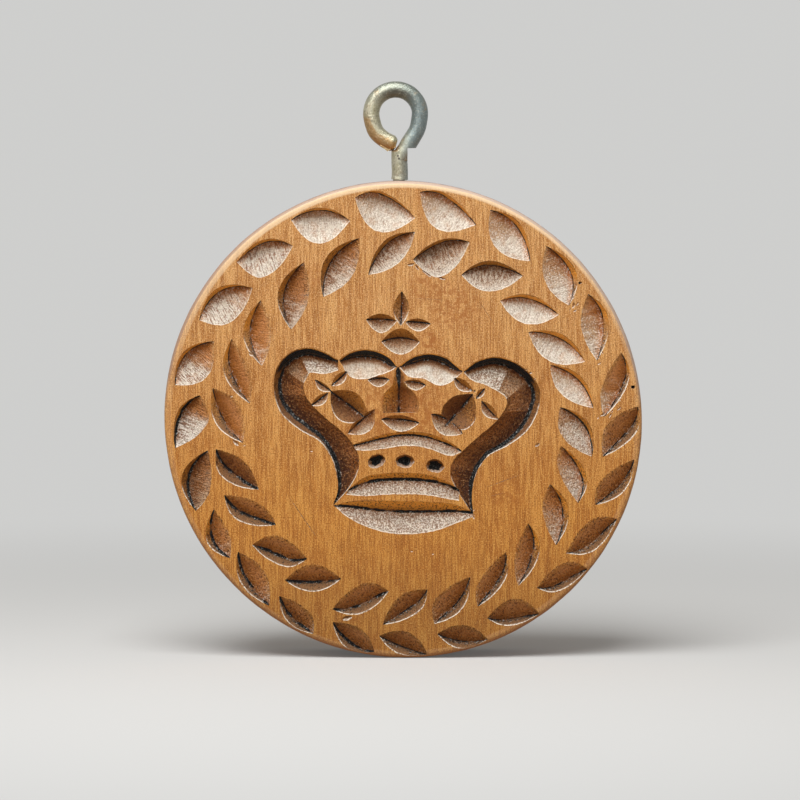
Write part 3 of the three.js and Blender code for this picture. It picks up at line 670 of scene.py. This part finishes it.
def tarnished_steel(points):
    """Dull greenish grey steel with brown tarnish and specks; darker and bluish on the ring's right as a
    painted reflection, and with painted shade on its top, nearly black where it faces down.
    """
    ring_x, ring_z = RING_CENTRE
    patches = grain(points, (0.5, 0.5, 0.5), 3, 0.6)
    speckle = grain(points, (2.8, 2.8, 2.8), 3, 0.7)
    x, _, z = split(points)
    up = facing(points.tree)[2]
    high = ease(z, ring_z + 1, ring_z + 6, 0, 0.85)
    brown = field(points.tree, "Attribute", output="Fac", attribute_name="brown")
    colour = coats(
        mix((0.46, 0.425, 0.285), (0.52, 0.495, 0.375), ease(patches, 0.35, 0.65)),
        # a painted reflection: darker and bluish-grey on the ring's right
        ((0.22, 0.265, 0.265), ease(x, ring_x - 1, ring_x + 4)),
        # painted shade on the ring's top
        ((0.2, 0.225, 0.195), high),
        # painted shade, nearly black, under the ring's top
        ((0.045, 0.027, 0.014), high * ease(up, 0.3, -0.3)),
        ((0.42, 0.24, 0.085), ease(brown + (patches - 0.5) * 2.2, 0.1, 0.9, 0, 0.85)),
        ((0.12, 0.095, 0.065), ease(speckle, 0.45, 0.36, 0, 0.5)))
    for nick_x, nick_z, radius in NICKS:
        away = distance(points, (nick_x, -SHANK_RADIUS, nick_z))
        colour = mix(colour, (0.1, 0.085, 0.07), ease(away, radius, 0.5 * radius))
    return {
        "Base Color": mix(colour, (0.75, 0.7, 0.56), ease(speckle, 0.56, 0.66, 0, 0.35)),
        "Metallic": 0.9,
        "Roughness": ease(speckle, 0.3, 0.7, 0.34, 0.5),
        "Normal": bump(speckle, 0.12),
    }


# Meshes
def skin(sections):
    """Points and faces of a closed body over a row of rings, the faces turned outward."""
    sections = np.asarray(sections, float)
    rows, ring, _ = sections.shape
    index = np.arange(rows * ring).reshape(rows, ring)
    turned = np.roll(index, -1, axis=1)
    faces = np.stack([index[:-1], turned[:-1], turned[1:], index[1:]], -1).reshape(-1, 4)
    points = sections.reshape(-1, 3)
    corners = points[faces]
    inside = points.mean(0)
    spin = np.cross(corners[:, 1] - corners[:, 0], corners[:, 2] - corners[:, 0])
    faces = faces.tolist() + [index[0][::-1].tolist(), index[-1].tolist()]
    if ((corners[:, 0] - inside) * spin).sum() < 0:
        faces = [face[::-1] for face in faces]
    return points, faces


def new_object(name, points, faces, materials, slot=0):
    mesh = bpy.data.meshes.new(name)
    mesh.from_pydata(place(points).tolist(), [], faces)
    for material in materials:
        mesh.materials.append(material)
    mesh.polygons.foreach_set("material_index", np.full(len(mesh.polygons), slot, np.int32))
    mesh.validate()
    made = bpy.data.objects.new(name, mesh)
    bpy.context.scene.collection.objects.link(made)
    return made


def combine(target, bodies, operation="DIFFERENCE", slot=0):
    """Cuts bodies that don't overlap out of the target, or joins them to it."""
    points = []
    faces = []
    for body_points, body_faces in bodies:
        faces.extend([[len(points) + i for i in face] for face in body_faces])
        points.extend(body_points)
    tool = new_object("tool", points, faces, target.data.materials, slot)
    modifier = target.modifiers.new("cut", "BOOLEAN")
    modifier.solver = "MANIFOLD"
    modifier.operation = operation
    modifier.object = tool
    bpy.context.view_layer.update()
    shaped = target.evaluated_get(bpy.context.evaluated_depsgraph_get())
    old = target.data
    target.data = bpy.data.meshes.new_from_object(shaped)
    target.modifiers.clear()
    bpy.data.meshes.remove(old)
    bpy.data.meshes.remove(tool.data)


def read(items, key, kind, width=1):
    values = np.empty(len(items) * width, kind)
    items.foreach_get(key, values)
    return values


def mesh_points(mesh):
    """A mesh's points, in millimetres from the disc's centre."""
    return (read(mesh.vertices, "co", float, 3).reshape(-1, 3) - DISC_CENTRE) / MM


def sharpen(mesh, limit):
    """Smooth shading, but for edges between the flat face and a cut, and edges sharper than the limit."""
    count = len(mesh.polygons)
    normals = read(mesh.polygons, "normal", float, 3).reshape(-1, 3)
    slots = read(mesh.polygons, "material_index", np.int32)
    flat = np.abs(normals[:, 1]) > 0.99999
    mesh.polygons.foreach_set("use_smooth", np.ones(count, bool))
    corner_edges = read(mesh.loops, "edge_index", np.int32)
    owners = np.repeat(np.arange(count), read(mesh.polygons, "loop_total", np.int32))
    order = np.argsort(corner_edges, kind="stable")
    first, second = owners[order].reshape(-1, 2).T
    bent = (normals[first] * normals[second]).sum(1) < math.cos(math.radians(limit))
    sharp = np.zeros(len(mesh.edges), bool)
    sharp[corner_edges[order][::2]] = bent | (slots[first] != slots[second]) | (flat[first] != flat[second])
    mesh.attributes.new("sharp_edge", "BOOLEAN", "EDGE").data.foreach_set("value", sharp)


# Cuts
def seed_of(group, i):
    first, step = SEEDS[group]
    return first + step * i


def lip_profile(share, rounding):
    """How deep a cut is at a share of the way from its lip, 0, to its crease, 1, with a rounded lip."""
    curve = (np.sqrt(share ** 2 + rounding ** 2) - rounding) / (np.sqrt(1 + rounding ** 2) - rounding)
    return 0.9 * curve + 0.1 * share


class Cut:
    """One V cut. wall, crease and floor are rows of x, z along the steep wall's edge, the crease and the
    gentle floor's edge. grime gives the black band of grime and painted shade in the crease: its half width
    low down and near the top, and its strength. torn and pitted are how uneven and how speckled the floor
    is, and sooty is how much painted shade blackens the wall where it faces down, and darkens the floor
    below it near the crown's top. facets are the shares of the length where a new stroke of the tool starts,
    each with how stained the floor is from there on. hatched is how plain the marks across the floor are,
    rounding is how soft its upper edge is, and clearing is how much of the stain is gone there.
    samples holds the facts and the place along and across the stroke, for each of the points."""

    def __init__(self, wall, crease, floor, seed, grime, torn, pitted, wall_shade=0.0, facets=((0, 0.0),),
                 hatched=0.0, rounding=LIP_ROUNDING, clearing=0.0):
        wall_run = np.linalg.norm(crease - wall, axis=1)
        floor_run = np.linalg.norm(floor - crease, axis=1)
        width = np.linalg.norm(floor - wall, axis=1)
        depth = DEPTH_SHARE * width
        steps = np.linalg.norm(np.diff(crease, axis=0), axis=1)
        along = np.concatenate([[0], np.cumsum(steps)])
        none = along * 0
        sideways = (floor - wall) / np.maximum(width, 1e-6)[:, None]
        spots = np.stack([along, none, none], 1)
        fade = np.minimum(1, depth)
        wall = wall + (WALL_WAVER * ripple(spots, 0.8, seed) * fade)[:, None] * sideways
        floor = floor + (FLOOR_WAVER * ripple(spots, 0.9, seed + 5) * fade)[:, None] * sideways
        share_along = np.linspace(0, 1, len(along))
        stain = none
        for start, stained in facets:
            stain = np.where(share_along >= start, stained, stain)

        sections = []
        values = []
        # Painted shade: a wall that faces down is blackened, where it is wide enough.
        down = (wall - crease)[:, 1] / np.maximum(wall_run, 0.05)
        wall_shade_share = smoothstep(down, 0.1, 0.6) * smoothstep(wall_run, 0.2, 0.7) * wall_shade
        sharp = np.minimum(LIP_ROUNDING / np.maximum(wall_run, 0.01), 0.4)
        for share in WALL_SHARES:
            sections.append(self.section(wall + (crease - wall) * share, depth * lip_profile(share, sharp)))
            rest = wall_run * (1 - share)
            lip = wall_run * share
            black = wall_shade_share * smoothstep(lip, 0.1, 0.5) * (1 - 0.7 * smoothstep(share, 0.5, 1.0))
            values.append(np.stack([rest, lip, along, -rest, none + 1, black, 0.6 * stain], 1))
        for share in FLOOR_SHARES:
            soft = lip_profile(1 - share, np.minimum(rounding / np.maximum(floor_run, 0.01), 0.35))
            deep = depth * ((1 - SCOOP) * soft + SCOOP * (1 - (1 - soft) ** 2))
            across = floor_run * share
            lip = floor_run * (1 - share)
            waves = ripple(np.stack([along / 0.75, across / 2.2, none], 1), 1.0, seed + 9)
            humps = ripple(np.stack([along, across, none], 1), 2.6, seed + 13)
            inside = smoothstep(np.minimum(across, lip), 0.05, 0.8)
            deep = deep + inside * (torn * waves + FLOOR_HUMPS * humps)
            for (start, _), (end, _) in zip(facets[:-1], facets[1:]):
                stroke = np.clip((share_along - start) / (end - start), 0, 1)
                deep = deep + FACET_DEPTH * 4 * stroke * (1 - stroke) * inside
            sections.append(self.section(crease + (floor - crease) * share, deep))
            cleared = stain * (1 - clearing * share)
            values.append(np.stack([across, lip, along, across, none, none, cleared], 1))
        profile = np.stack(sections, 1)
        above = profile[:, [0, -1]]
        above[:, :, 1] = FACE_Y - CUTTER_RISE
        self.body = skin(np.concatenate([above[:, :1], profile, above[:, 1:]], 1))
        self.points = profile.reshape(-1, 3)
        rest, lip, along, across, is_wall, black, stain = np.stack(values, 1).reshape(-1, 7).T
        high = smoothstep(self.points[:, 2], 6.0, 9.5)
        low_width, high_width, strength = grime
        width = low_width + (high_width - low_width) * high
        blotch = ripple(self.points, 0.9, seed + 17)
        breaks = 1 if wall_shade else 0.45 + 0.55 * smoothstep(ripple(self.points, 2.2, seed + 21), -0.4, 0.1)
        # The crease's black band of grime and painted shade, broken up unless the wall is shaded.
        band = 1 - smoothstep(rest, 0.2 * width, width * (1.1 + 0.6 * blotch))
        # Painted shade on the floor near the crease under the crown's top, put into the black band and the
        # stain.
        arch_floor_shade = 0.75 * wall_shade * high * (1 - is_wall) * (1 - smoothstep(rest, 0.1, 1.9))
        alike = np.ones(len(self.points))
        dark = np.maximum(strength * breaks * band, np.maximum(black, 0.5 * arch_floor_shade))
        self.samples = np.stack([rest, lip, dark, is_wall, np.maximum(stain, arch_floor_shade), hatched * alike,
                                 pitted * alike, along, across, is_wall + seed], 1)

    @staticmethod
    def section(places, deep):
        return np.stack([places[:, 0], FACE_Y - CUTTER_LIP + deep, places[:, 1]], 1)


def fullness(share, peak):
    """How far an edge has bulged at a share of its length."""
    reach = np.where(share < peak, peak, 1 - peak)
    return 1 - ((share - peak) / reach) ** 2


def lens_cut(row, crease, seed, **looks):
    """A pointed cut between two ends, with its steep wall on the left of the way between them."""
    x1, z1, x2, z2, left, right, left_peak, right_peak = row
    start = np.array([x1, z1])
    along = np.array([x2, z2]) - start
    length = np.linalg.norm(along)
    sideways = np.array([-along[1], along[0]]) / length
    share = np.linspace(0.004, 0.996, max(12, round(length / STEP)))
    left_offset = left * fullness(share, left_peak)
    right_offset = -right * fullness(share, right_peak)
    crease_offset = left_offset + (right_offset - left_offset) * crease
    middle = start + share[:, None] * along
    edges = [middle + offset[:, None] * sideways for offset in (left_offset, crease_offset, right_offset)]
    return Cut(*edges, seed, **looks)


def smooth_line(points, steps):
    """A smooth line through the points, with that many steps between each two of them."""
    points = np.asarray(points, float)
    padded = np.vstack([2 * points[0] - points[1], points, 2 * points[-1] - points[-2]])
    line = []
    for a, b, c, d in zip(padded, padded[1:], padded[2:], padded[3:]):
        gap_1, gap_2, gap_3 = (
            max(math.sqrt(np.linalg.norm(q - p)), 1e-2) for p, q in ((a, b), (b, c), (c, d)))
        leave = ((b - a) / gap_1 - (c - a) / (gap_1 + gap_2) + (c - b) / gap_2) * gap_2
        arrive = ((c - b) / gap_2 - (d - b) / (gap_2 + gap_3) + (d - c) / gap_3) * gap_2
        for t in np.arange(steps) / steps:
            line.append(b + leave * t + (-3 * b + 3 * c - 2 * leave - arrive) * t ** 2
                        + (2 * b - 2 * c + leave + arrive) * t ** 3)
    line.append(points[-1])
    return np.array(line)


def run_cut(stations, seed, widths, torn, pitted, wall_shade, facets):
    """A long cut through stations, each the x and z of the wall's edge, the crease and the floor's edge."""
    rows = np.asarray(stations, float)
    reach = np.linalg.norm(np.diff(rows[:, :2], axis=0), axis=1).mean()
    steps = max(4, round(reach / STEP))
    edges = [smooth_line(rows[:, k:k + 2], steps) for k in (0, 2, 4)]
    last = len(rows) - 1
    facets = [(station / last, stain) for station, stain in facets]
    return Cut(*edges, seed, (*widths, 1.0), torn, pitted, wall_shade, facets, hatched=0.3)


class Pit:
    """A small bowl sunk in the face, with an uneven wall. black is how dark it is inside."""

    def __init__(self, x, z, half_length, half_width, depth, tilt, black, seed):
        rings = []
        turn = math.radians(tilt)
        around = circle(BOWL_SIDES)
        centre = np.array([x, FACE_Y, z])
        ragged = min(0.4, 0.16 / half_width)
        for height in BOWL_HEIGHTS:
            wide = math.sqrt(1 - height ** 2)
            ring_x = half_length * wide * np.cos(around)
            ring_z = half_width * wide * np.sin(around)
            ring = np.stack([x + ring_x * math.cos(turn) - ring_z * math.sin(turn),
                             FACE_Y + depth * height + around * 0,
                             z + ring_x * math.sin(turn) + ring_z * math.cos(turn)], 1)
            rough = ripple(ring, 0.8, seed) + 0.7 * ripple(ring, 0.3, seed + 2)
            rings.append(centre + (ring - centre) * (1 + ragged * rough)[:, None])
        self.body = skin(rings)
        self.points = self.body[0]
        deep = self.points[:, 1] - FACE_Y
        none = deep * 0
        share = deep / depth + 0.25 * ripple(self.points, 0.7, seed + 4)
        self.samples = np.stack([none + 0.55, np.abs(deep), black * smoothstep(share, 0.6, 0.85), none, none,
                                 none, none + 0.8, self.points[:, 0], self.points[:, 2], none + seed], 1)

    def is_clear_of(self, other):
        gap = np.maximum(self.points.min(0) - other.points.max(0), other.points.min(0) - self.points.max(0))
        return gap.max() > CHIP_GAP


def turned_disc():
    """The turned blank: a revolved outline with rounded edges, a little out of round and worn."""
    front = FACE_Y + EDGE_ROUNDING
    back = BACK_Y - EDGE_ROUNDING
    outline = []
    for start_y, first, last in ((front, -90, 0), (back, 0, 90)):
        for angle in np.radians(np.linspace(first, last, ROUNDING_STEPS + 1)):
            outline.append((DISC_RADIUS - EDGE_ROUNDING * (1 - math.cos(angle)),
                            start_y + EDGE_ROUNDING * math.sin(angle)))
        if first < 0:
            outline.extend((DISC_RADIUS, y) for y in np.linspace(front, back, SIDE_STEPS + 1)[1:-1])
    around = circle(DISC_SIDES)
    stretched = 1 + OUT_OF_ROUND / DISC_RADIUS * np.cos(2 * (around - math.radians(90 + LONG_AXIS_TILT)))
    rings = []
    for radius, y in outline:
        ring_x = radius * stretched * np.cos(around)
        ring_z = radius * stretched * np.sin(around)
        ring = np.stack([ring_x, around * 0 + y, ring_z], 1)
        wear = RIM_WEAR * (ripple(ring, 6.0, 71) + 0.6 * ripple(ring, 1.7, 72)) - 0.5 * RIM_WEAR
        ring[:, 0] += wear * np.cos(around)
        ring[:, 2] += wear * np.sin(around)
        rings.append(ring)
    return skin(rings)


def leaf_looks(i, inner, x, z):
    """How a leaf of the i-th pair, at x and z, looks. The lower leaves are rougher and softer, with a wider
    band of grime and painted shade in their creases.
    """
    low = z < 0
    rough = inner and (i < 3 or i > 20)
    hatched = 1.0 if 17 <= i <= 21 and not inner else 0.4
    stain = 0.28 if rough else 0.0
    grime = 0.17
    if low:
        grime = 0.46 if x < 0 else 0.24
    return {
        "grime": (grime, grime, 0.9),
        "torn": 0.03 if low else 0.05,
        "pitted": 0.9 if rough or low else 0.35,
        "facets": ((0, 0.55 if i == 17 else stain),),
        "hatched": 0.9 if rough else hatched,
        "rounding": SOFT_ROUNDING if low or (inner and i > 17) else LIP_ROUNDING,
        "clearing": 0.2 if i == 17 else 0.8,
    }


def leaf_groups():
    """The wreath's leaves in four groups, so that no two in a group touch."""
    groups = [[], [], [], []]
    for i, pair in enumerate(LEAF_PAIRS):
        odd = 1 if i == len(LEAF_PAIRS) - 1 else i % 2
        for inner, leaf in enumerate(pair):
            looks = leaf_looks(i, inner, leaf[0] + leaf[2], leaf[1] + leaf[3])
            seed = seed_of("leaf", i) + INNER_SEED * inner
            groups[2 * inner + odd].append(lens_cut(leaf[:8], leaf[8], seed, **looks))
    return groups


def crown_cuts():
    cuts = []
    for i, (name, row, crease) in enumerate(CROWN_LENSES):
        large = "large petal" in name
        looks = {"facets": ((0, 0.75 if large else 0.6),), "clearing": 0 if large else 0.85, "hatched": 0.4}
        cuts.append(lens_cut([*row, 0.5, 0.5], crease, seed_of("lens", i), grime=(0.26, 0.26, 0.9),
                             torn=0.03, pitted=0.7, **looks))
    for i, (name, stations) in enumerate(CROWN_RUNS.items()):
        cuts.append(run_cut(stations, seed_of("run", i), *RUN_LOOKS[name]))
    for i, (x, z, pit_tilt) in enumerate(CROWN_PITS):
        cuts.append(Pit(x, z, *CROWN_PIT_SIZE, pit_tilt, 1.0, seed_of("pit", i)))
    return cuts


def damage():
    """The marks on the face and the chips of the torn places, leaving out chips that would touch another."""
    marks = [Pit(*mark, seed_of("mark", i)) for i, mark in enumerate(MARKS)]
    chance = np.random.default_rng(CHANCE_SEED)
    for x1, z1, x2, z2, count in TORN:
        for i in range(count):
            share = (i + chance.random()) / count
            middle = np.array([x1, z1]) + share * np.array([x2 - x1, z2 - z1])
            spot = middle + chance.normal(0, TORN_SPREAD, 2)
            shape = chance.uniform(*CHIP_SIZES) * np.array(CHIP_SHAPE)
            chip = Pit(*spot, *shape, chance.uniform(*CHIP_TILTS), 0.0, seed_of("chip", len(marks)))
            if all(chip.is_clear_of(mark) for mark in marks):
                marks.append(chip)
    return marks


def scratches():
    cuts = []
    for i, (x1, z1, x2, z2, width) in enumerate(SCRATCHES):
        row = [x1, z1, x2, z2, width / 2, width / 2, 0.5, 0.5]
        cut = lens_cut(row, 0.5, seed_of("scratch", i), grime=(0.3, 0.3, 0.7), torn=0.0, pitted=0.0)
        cut.samples[:, FACTS.index("lip")] = 1.0  # their lips get no pale wear and painted highlight
        cut.samples[:, FACTS.index("grime")] = SCRATCH_GRIME
        cuts.append(cut)
    return cuts


def carve_mould(materials):
    """The turned blank with its hollows and the screw's pilot hole, and the list of the hollows."""
    body = new_object("mould", *turned_disc(), materials)
    groups = [*leaf_groups(), *([cut] for cut in crown_cuts()), damage(), scratches()]
    for group in groups:
        combine(body, [cut.body for cut in group], slot=CARVED)
    pilot = [[[SHANK_X + PILOT_RADIUS * math.cos(angle), PILOT_RADIUS * math.sin(angle), z]
              for angle in circle(CORE_SIDES)] for z in (DISC_RADIUS + 1, DISC_RADIUS - CORE_DEPTH)]
    combine(body, [skin(pilot)])
    return body, [cut for group in groups for cut in group]


def tell_facts(mesh, cuts):
    """Gives each point of the carved surfaces the facts of the nearest point of a cut."""
    samples = np.concatenate([cut.samples for cut in cuts])
    tree = kdtree.KDTree(len(samples))
    for i, point in enumerate(np.concatenate([cut.points for cut in cuts])):
        tree.insert(point, i)
    tree.balance()
    nearest = [tree.find(point)[1] for point in mesh_points(mesh)]
    facts = samples[nearest].astype(np.float32)
    for k, name in enumerate(FACTS):
        mesh.attributes.new(name, "FLOAT", "POINT").data.foreach_set("value", facts[:, k])
    strokes = mesh.attributes.new("stroke", "FLOAT_VECTOR", "POINT")
    strokes.data.foreach_set("vector", np.ascontiguousarray(facts[:, len(FACTS):]).ravel())


# Screw eye
def bar(line, radii, seed=0.0, sides=WIRE_SIDES):
    """A round, slightly dented bar along a line in the plane y = 0."""
    line = np.asarray(line, float)
    ahead = np.gradient(line, axis=0)
    ahead /= np.linalg.norm(ahead, axis=1)[:, None]
    around = circle(sides)
    rings = []
    for centre, (ahead_x, ahead_z), radius in zip(line, ahead, radii):
        ring = np.stack([centre[0] - radius * np.cos(around) * ahead_z, radius * np.sin(around),
                         centre[1] + radius * np.cos(around) * ahead_x], 1)
        dents = 0.035 * ripple(ring, 1.6, seed) + 0.015 * ripple(ring, 0.5, seed + 3)
        outward = ring - np.array([centre[0], 0, centre[1]])
        rings.append(ring + outward / max(radius, 0.1) * dents[:, None])
    return skin(rings)


def slab(outline, depths):
    return skin([[[x, y, z] for x, z in outline] for y in depths])


def ring_line():
    """The wire's centre line: from the ring's free end round over the top, and down into the shank."""
    angles = np.radians(np.linspace(*RING_ARC, 11))
    arc = [(RING_RADIUS * math.cos(angle), RING_RADIUS * math.sin(angle)) for angle in angles]
    return smooth_line(np.array([*FREE_END, *arc, *BEND]) + RING_CENTRE, 12)


def thread():
    """The screw's thread: a ridge that climbs round the core."""
    turns = (CORE_DEPTH - 4) / THREAD_PITCH
    inner = CORE_RADIUS - 0.15
    sections = []
    for angle in np.arange(0, turns * 2 * math.pi, 2 * math.pi / THREAD_SIDES):
        height = SHANK_FOOT_Z - 0.15 - THREAD_PITCH * angle / (2 * math.pi)
        grow = min(1, angle / 1.5)
        outer = inner + (THREAD_RADIUS - inner) * (0.4 + 0.6 * grow)
        sections.append([
            [SHANK_X + radius * math.cos(angle - 0.6), -radius * math.sin(angle + 0.6), height + rise]
            for radius, rise in ((inner, -0.3), (outer, -0.05), (outer, 0.05), (inner, 0.3))])
    return skin(sections)


def screw_eye(material):
    """The bent wire with a ragged free end, its shank, and the threaded core in the wood."""
    line = ring_line()
    x, z = RING_CENTRE
    share = np.linspace(0, 1, len(line))
    blunt = 0.45 + 0.55 * np.sqrt(np.clip(share / 0.035, 0, 1))
    radii = WIRE_RADIUS * (1 + 0.05 * smoothstep(share, 0.75, 0.88)) * blunt
    eye = new_object("screw_eye_steel", *bar(line, radii, 31), [material])
    flank = SHANK_X + SHANK_RADIUS - 0.05
    combine(eye, [slab([(flank, z - 7.2), (x + 8, z - 7.1), (x + 8, z - 11), (flank, z - 11)], (-4, 4))])
    heights = np.linspace(SHANK_FOOT_Z, z - 7.6, 26)
    girth = SHANK_RADIUS * (1 + 0.04 * smoothstep(SHANK_FOOT_Z + 0.8 - heights, 0, 0.8))
    girth[-1] *= 0.8
    core_heights = np.linspace(DISC_RADIUS - CORE_DEPTH + 0.1, SHANK_FOOT_Z + 0.3, 20)
    core_radii = np.minimum(0.4 + 0.3 * np.arange(len(core_heights)), CORE_RADIUS)
    for body in (
            slab([(x + burr_x, z + burr_z) for burr_x, burr_z in BURR], BURR_DEPTH),
            bar(np.stack([SHANK_X + 0.04 * np.sin(heights), heights], 1), girth, 47),
            bar(np.stack([core_heights * 0 + SHANK_X, core_heights], 1), core_radii, sides=CORE_SIDES),
            thread()):
        combine(eye, [body], "UNION")
    spots = mesh_points(eye.data) - np.array([x, 0, z])
    low_left = smoothstep(-0.7 * spots[:, 0] - spots[:, 2], 3.0, 6.0) * smoothstep(spots[:, 2], -8.6, -7.2)
    outer = smoothstep(np.hypot(spots[:, 0], spots[:, 2]), 4.6, 6.4)
    brown = low_left * outer * smoothstep(spots[:, 0], 0.9, 0.3)
    eye.data.attributes.new("brown", "FLOAT", "POINT").data.foreach_set("value", brown.astype(np.float32))
    return eye


wood = [new_material("turned_wood", turned_wood), new_material("carved_wood", carved_wood)]
mould, cuts = carve_mould(wood)
tell_facts(mould.data, cuts)
sharpen(mould.data, WOOD_CREASE)
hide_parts("mould_body")
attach(mould, "root")

eye = screw_eye(new_material("tarnished_steel", tarnished_steel))
sharpen(eye.data, STEEL_CREASE)
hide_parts("screw_eye")
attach(eye, "root")


# Floor, lamps and world
def surroundings(tree, glow):
    """The background's colour where it is seen and its glow elsewhere, and where it is seen."""
    rays = add(tree, "LightPath")
    seen = calc("MAXIMUM", Field(rays["Is Camera Ray"]), Field(rays["Is Glossy Ray"]))
    return mix(glow, BACKGROUND, seen), seen


for name, spot, size, watts in LAMPS:
    lamp = bpy.data.lights.new(name, "AREA")
    lamp.shape = "SQUARE"
    lamp.size = size
    lamp.energy = watts
    holder = bpy.data.objects.new(name, lamp)
    bpy.context.scene.collection.objects.link(holder)
    holder.location = spot
    holder.rotation_euler = (Vector(DISC_CENTRE) - Vector(spot)).to_track_quat("-Z", "Y").to_euler()

floor_material = bpy.data.materials.new("floor")
floor_material.use_nodes = True
floor_tree = floor_material.node_tree
floor_tree.nodes.remove(floor_tree.nodes["Principled BSDF"])
floor_colour, seen = surroundings(floor_tree, TABLE_GLOW)
away = distance(field(floor_tree, "NewGeometry", output="Position"))
near_floor = field(floor_tree, "BsdfDiffuse", {"Color": floor_colour})
far_floor = field(floor_tree, "Emission", {"Color": BACKGROUND})
surface = field(floor_tree, "MixShader", {0: ease(away, *FLOOR_FADE) * seen, 1: near_floor, 2: far_floor})
plug(surface, floor_tree.nodes["Material Output"].inputs["Surface"])
reach = FLOOR_REACH / MM
lowest = mesh_points(mould.data)[:, 2].min()
corners = [(x, y, lowest) for x, y in ((-reach, -reach), (reach, -reach), (reach, reach), (-reach, reach))]
floor = new_object("floor", corners, [(0, 1, 2, 3)], [floor_material])

world = bpy.data.worlds.new("world")
world.use_nodes = True
bpy.context.scene.world = world
plug(surroundings(world.node_tree, AMBIENT)[0], world.node_tree.nodes["Background"].inputs["Color"])
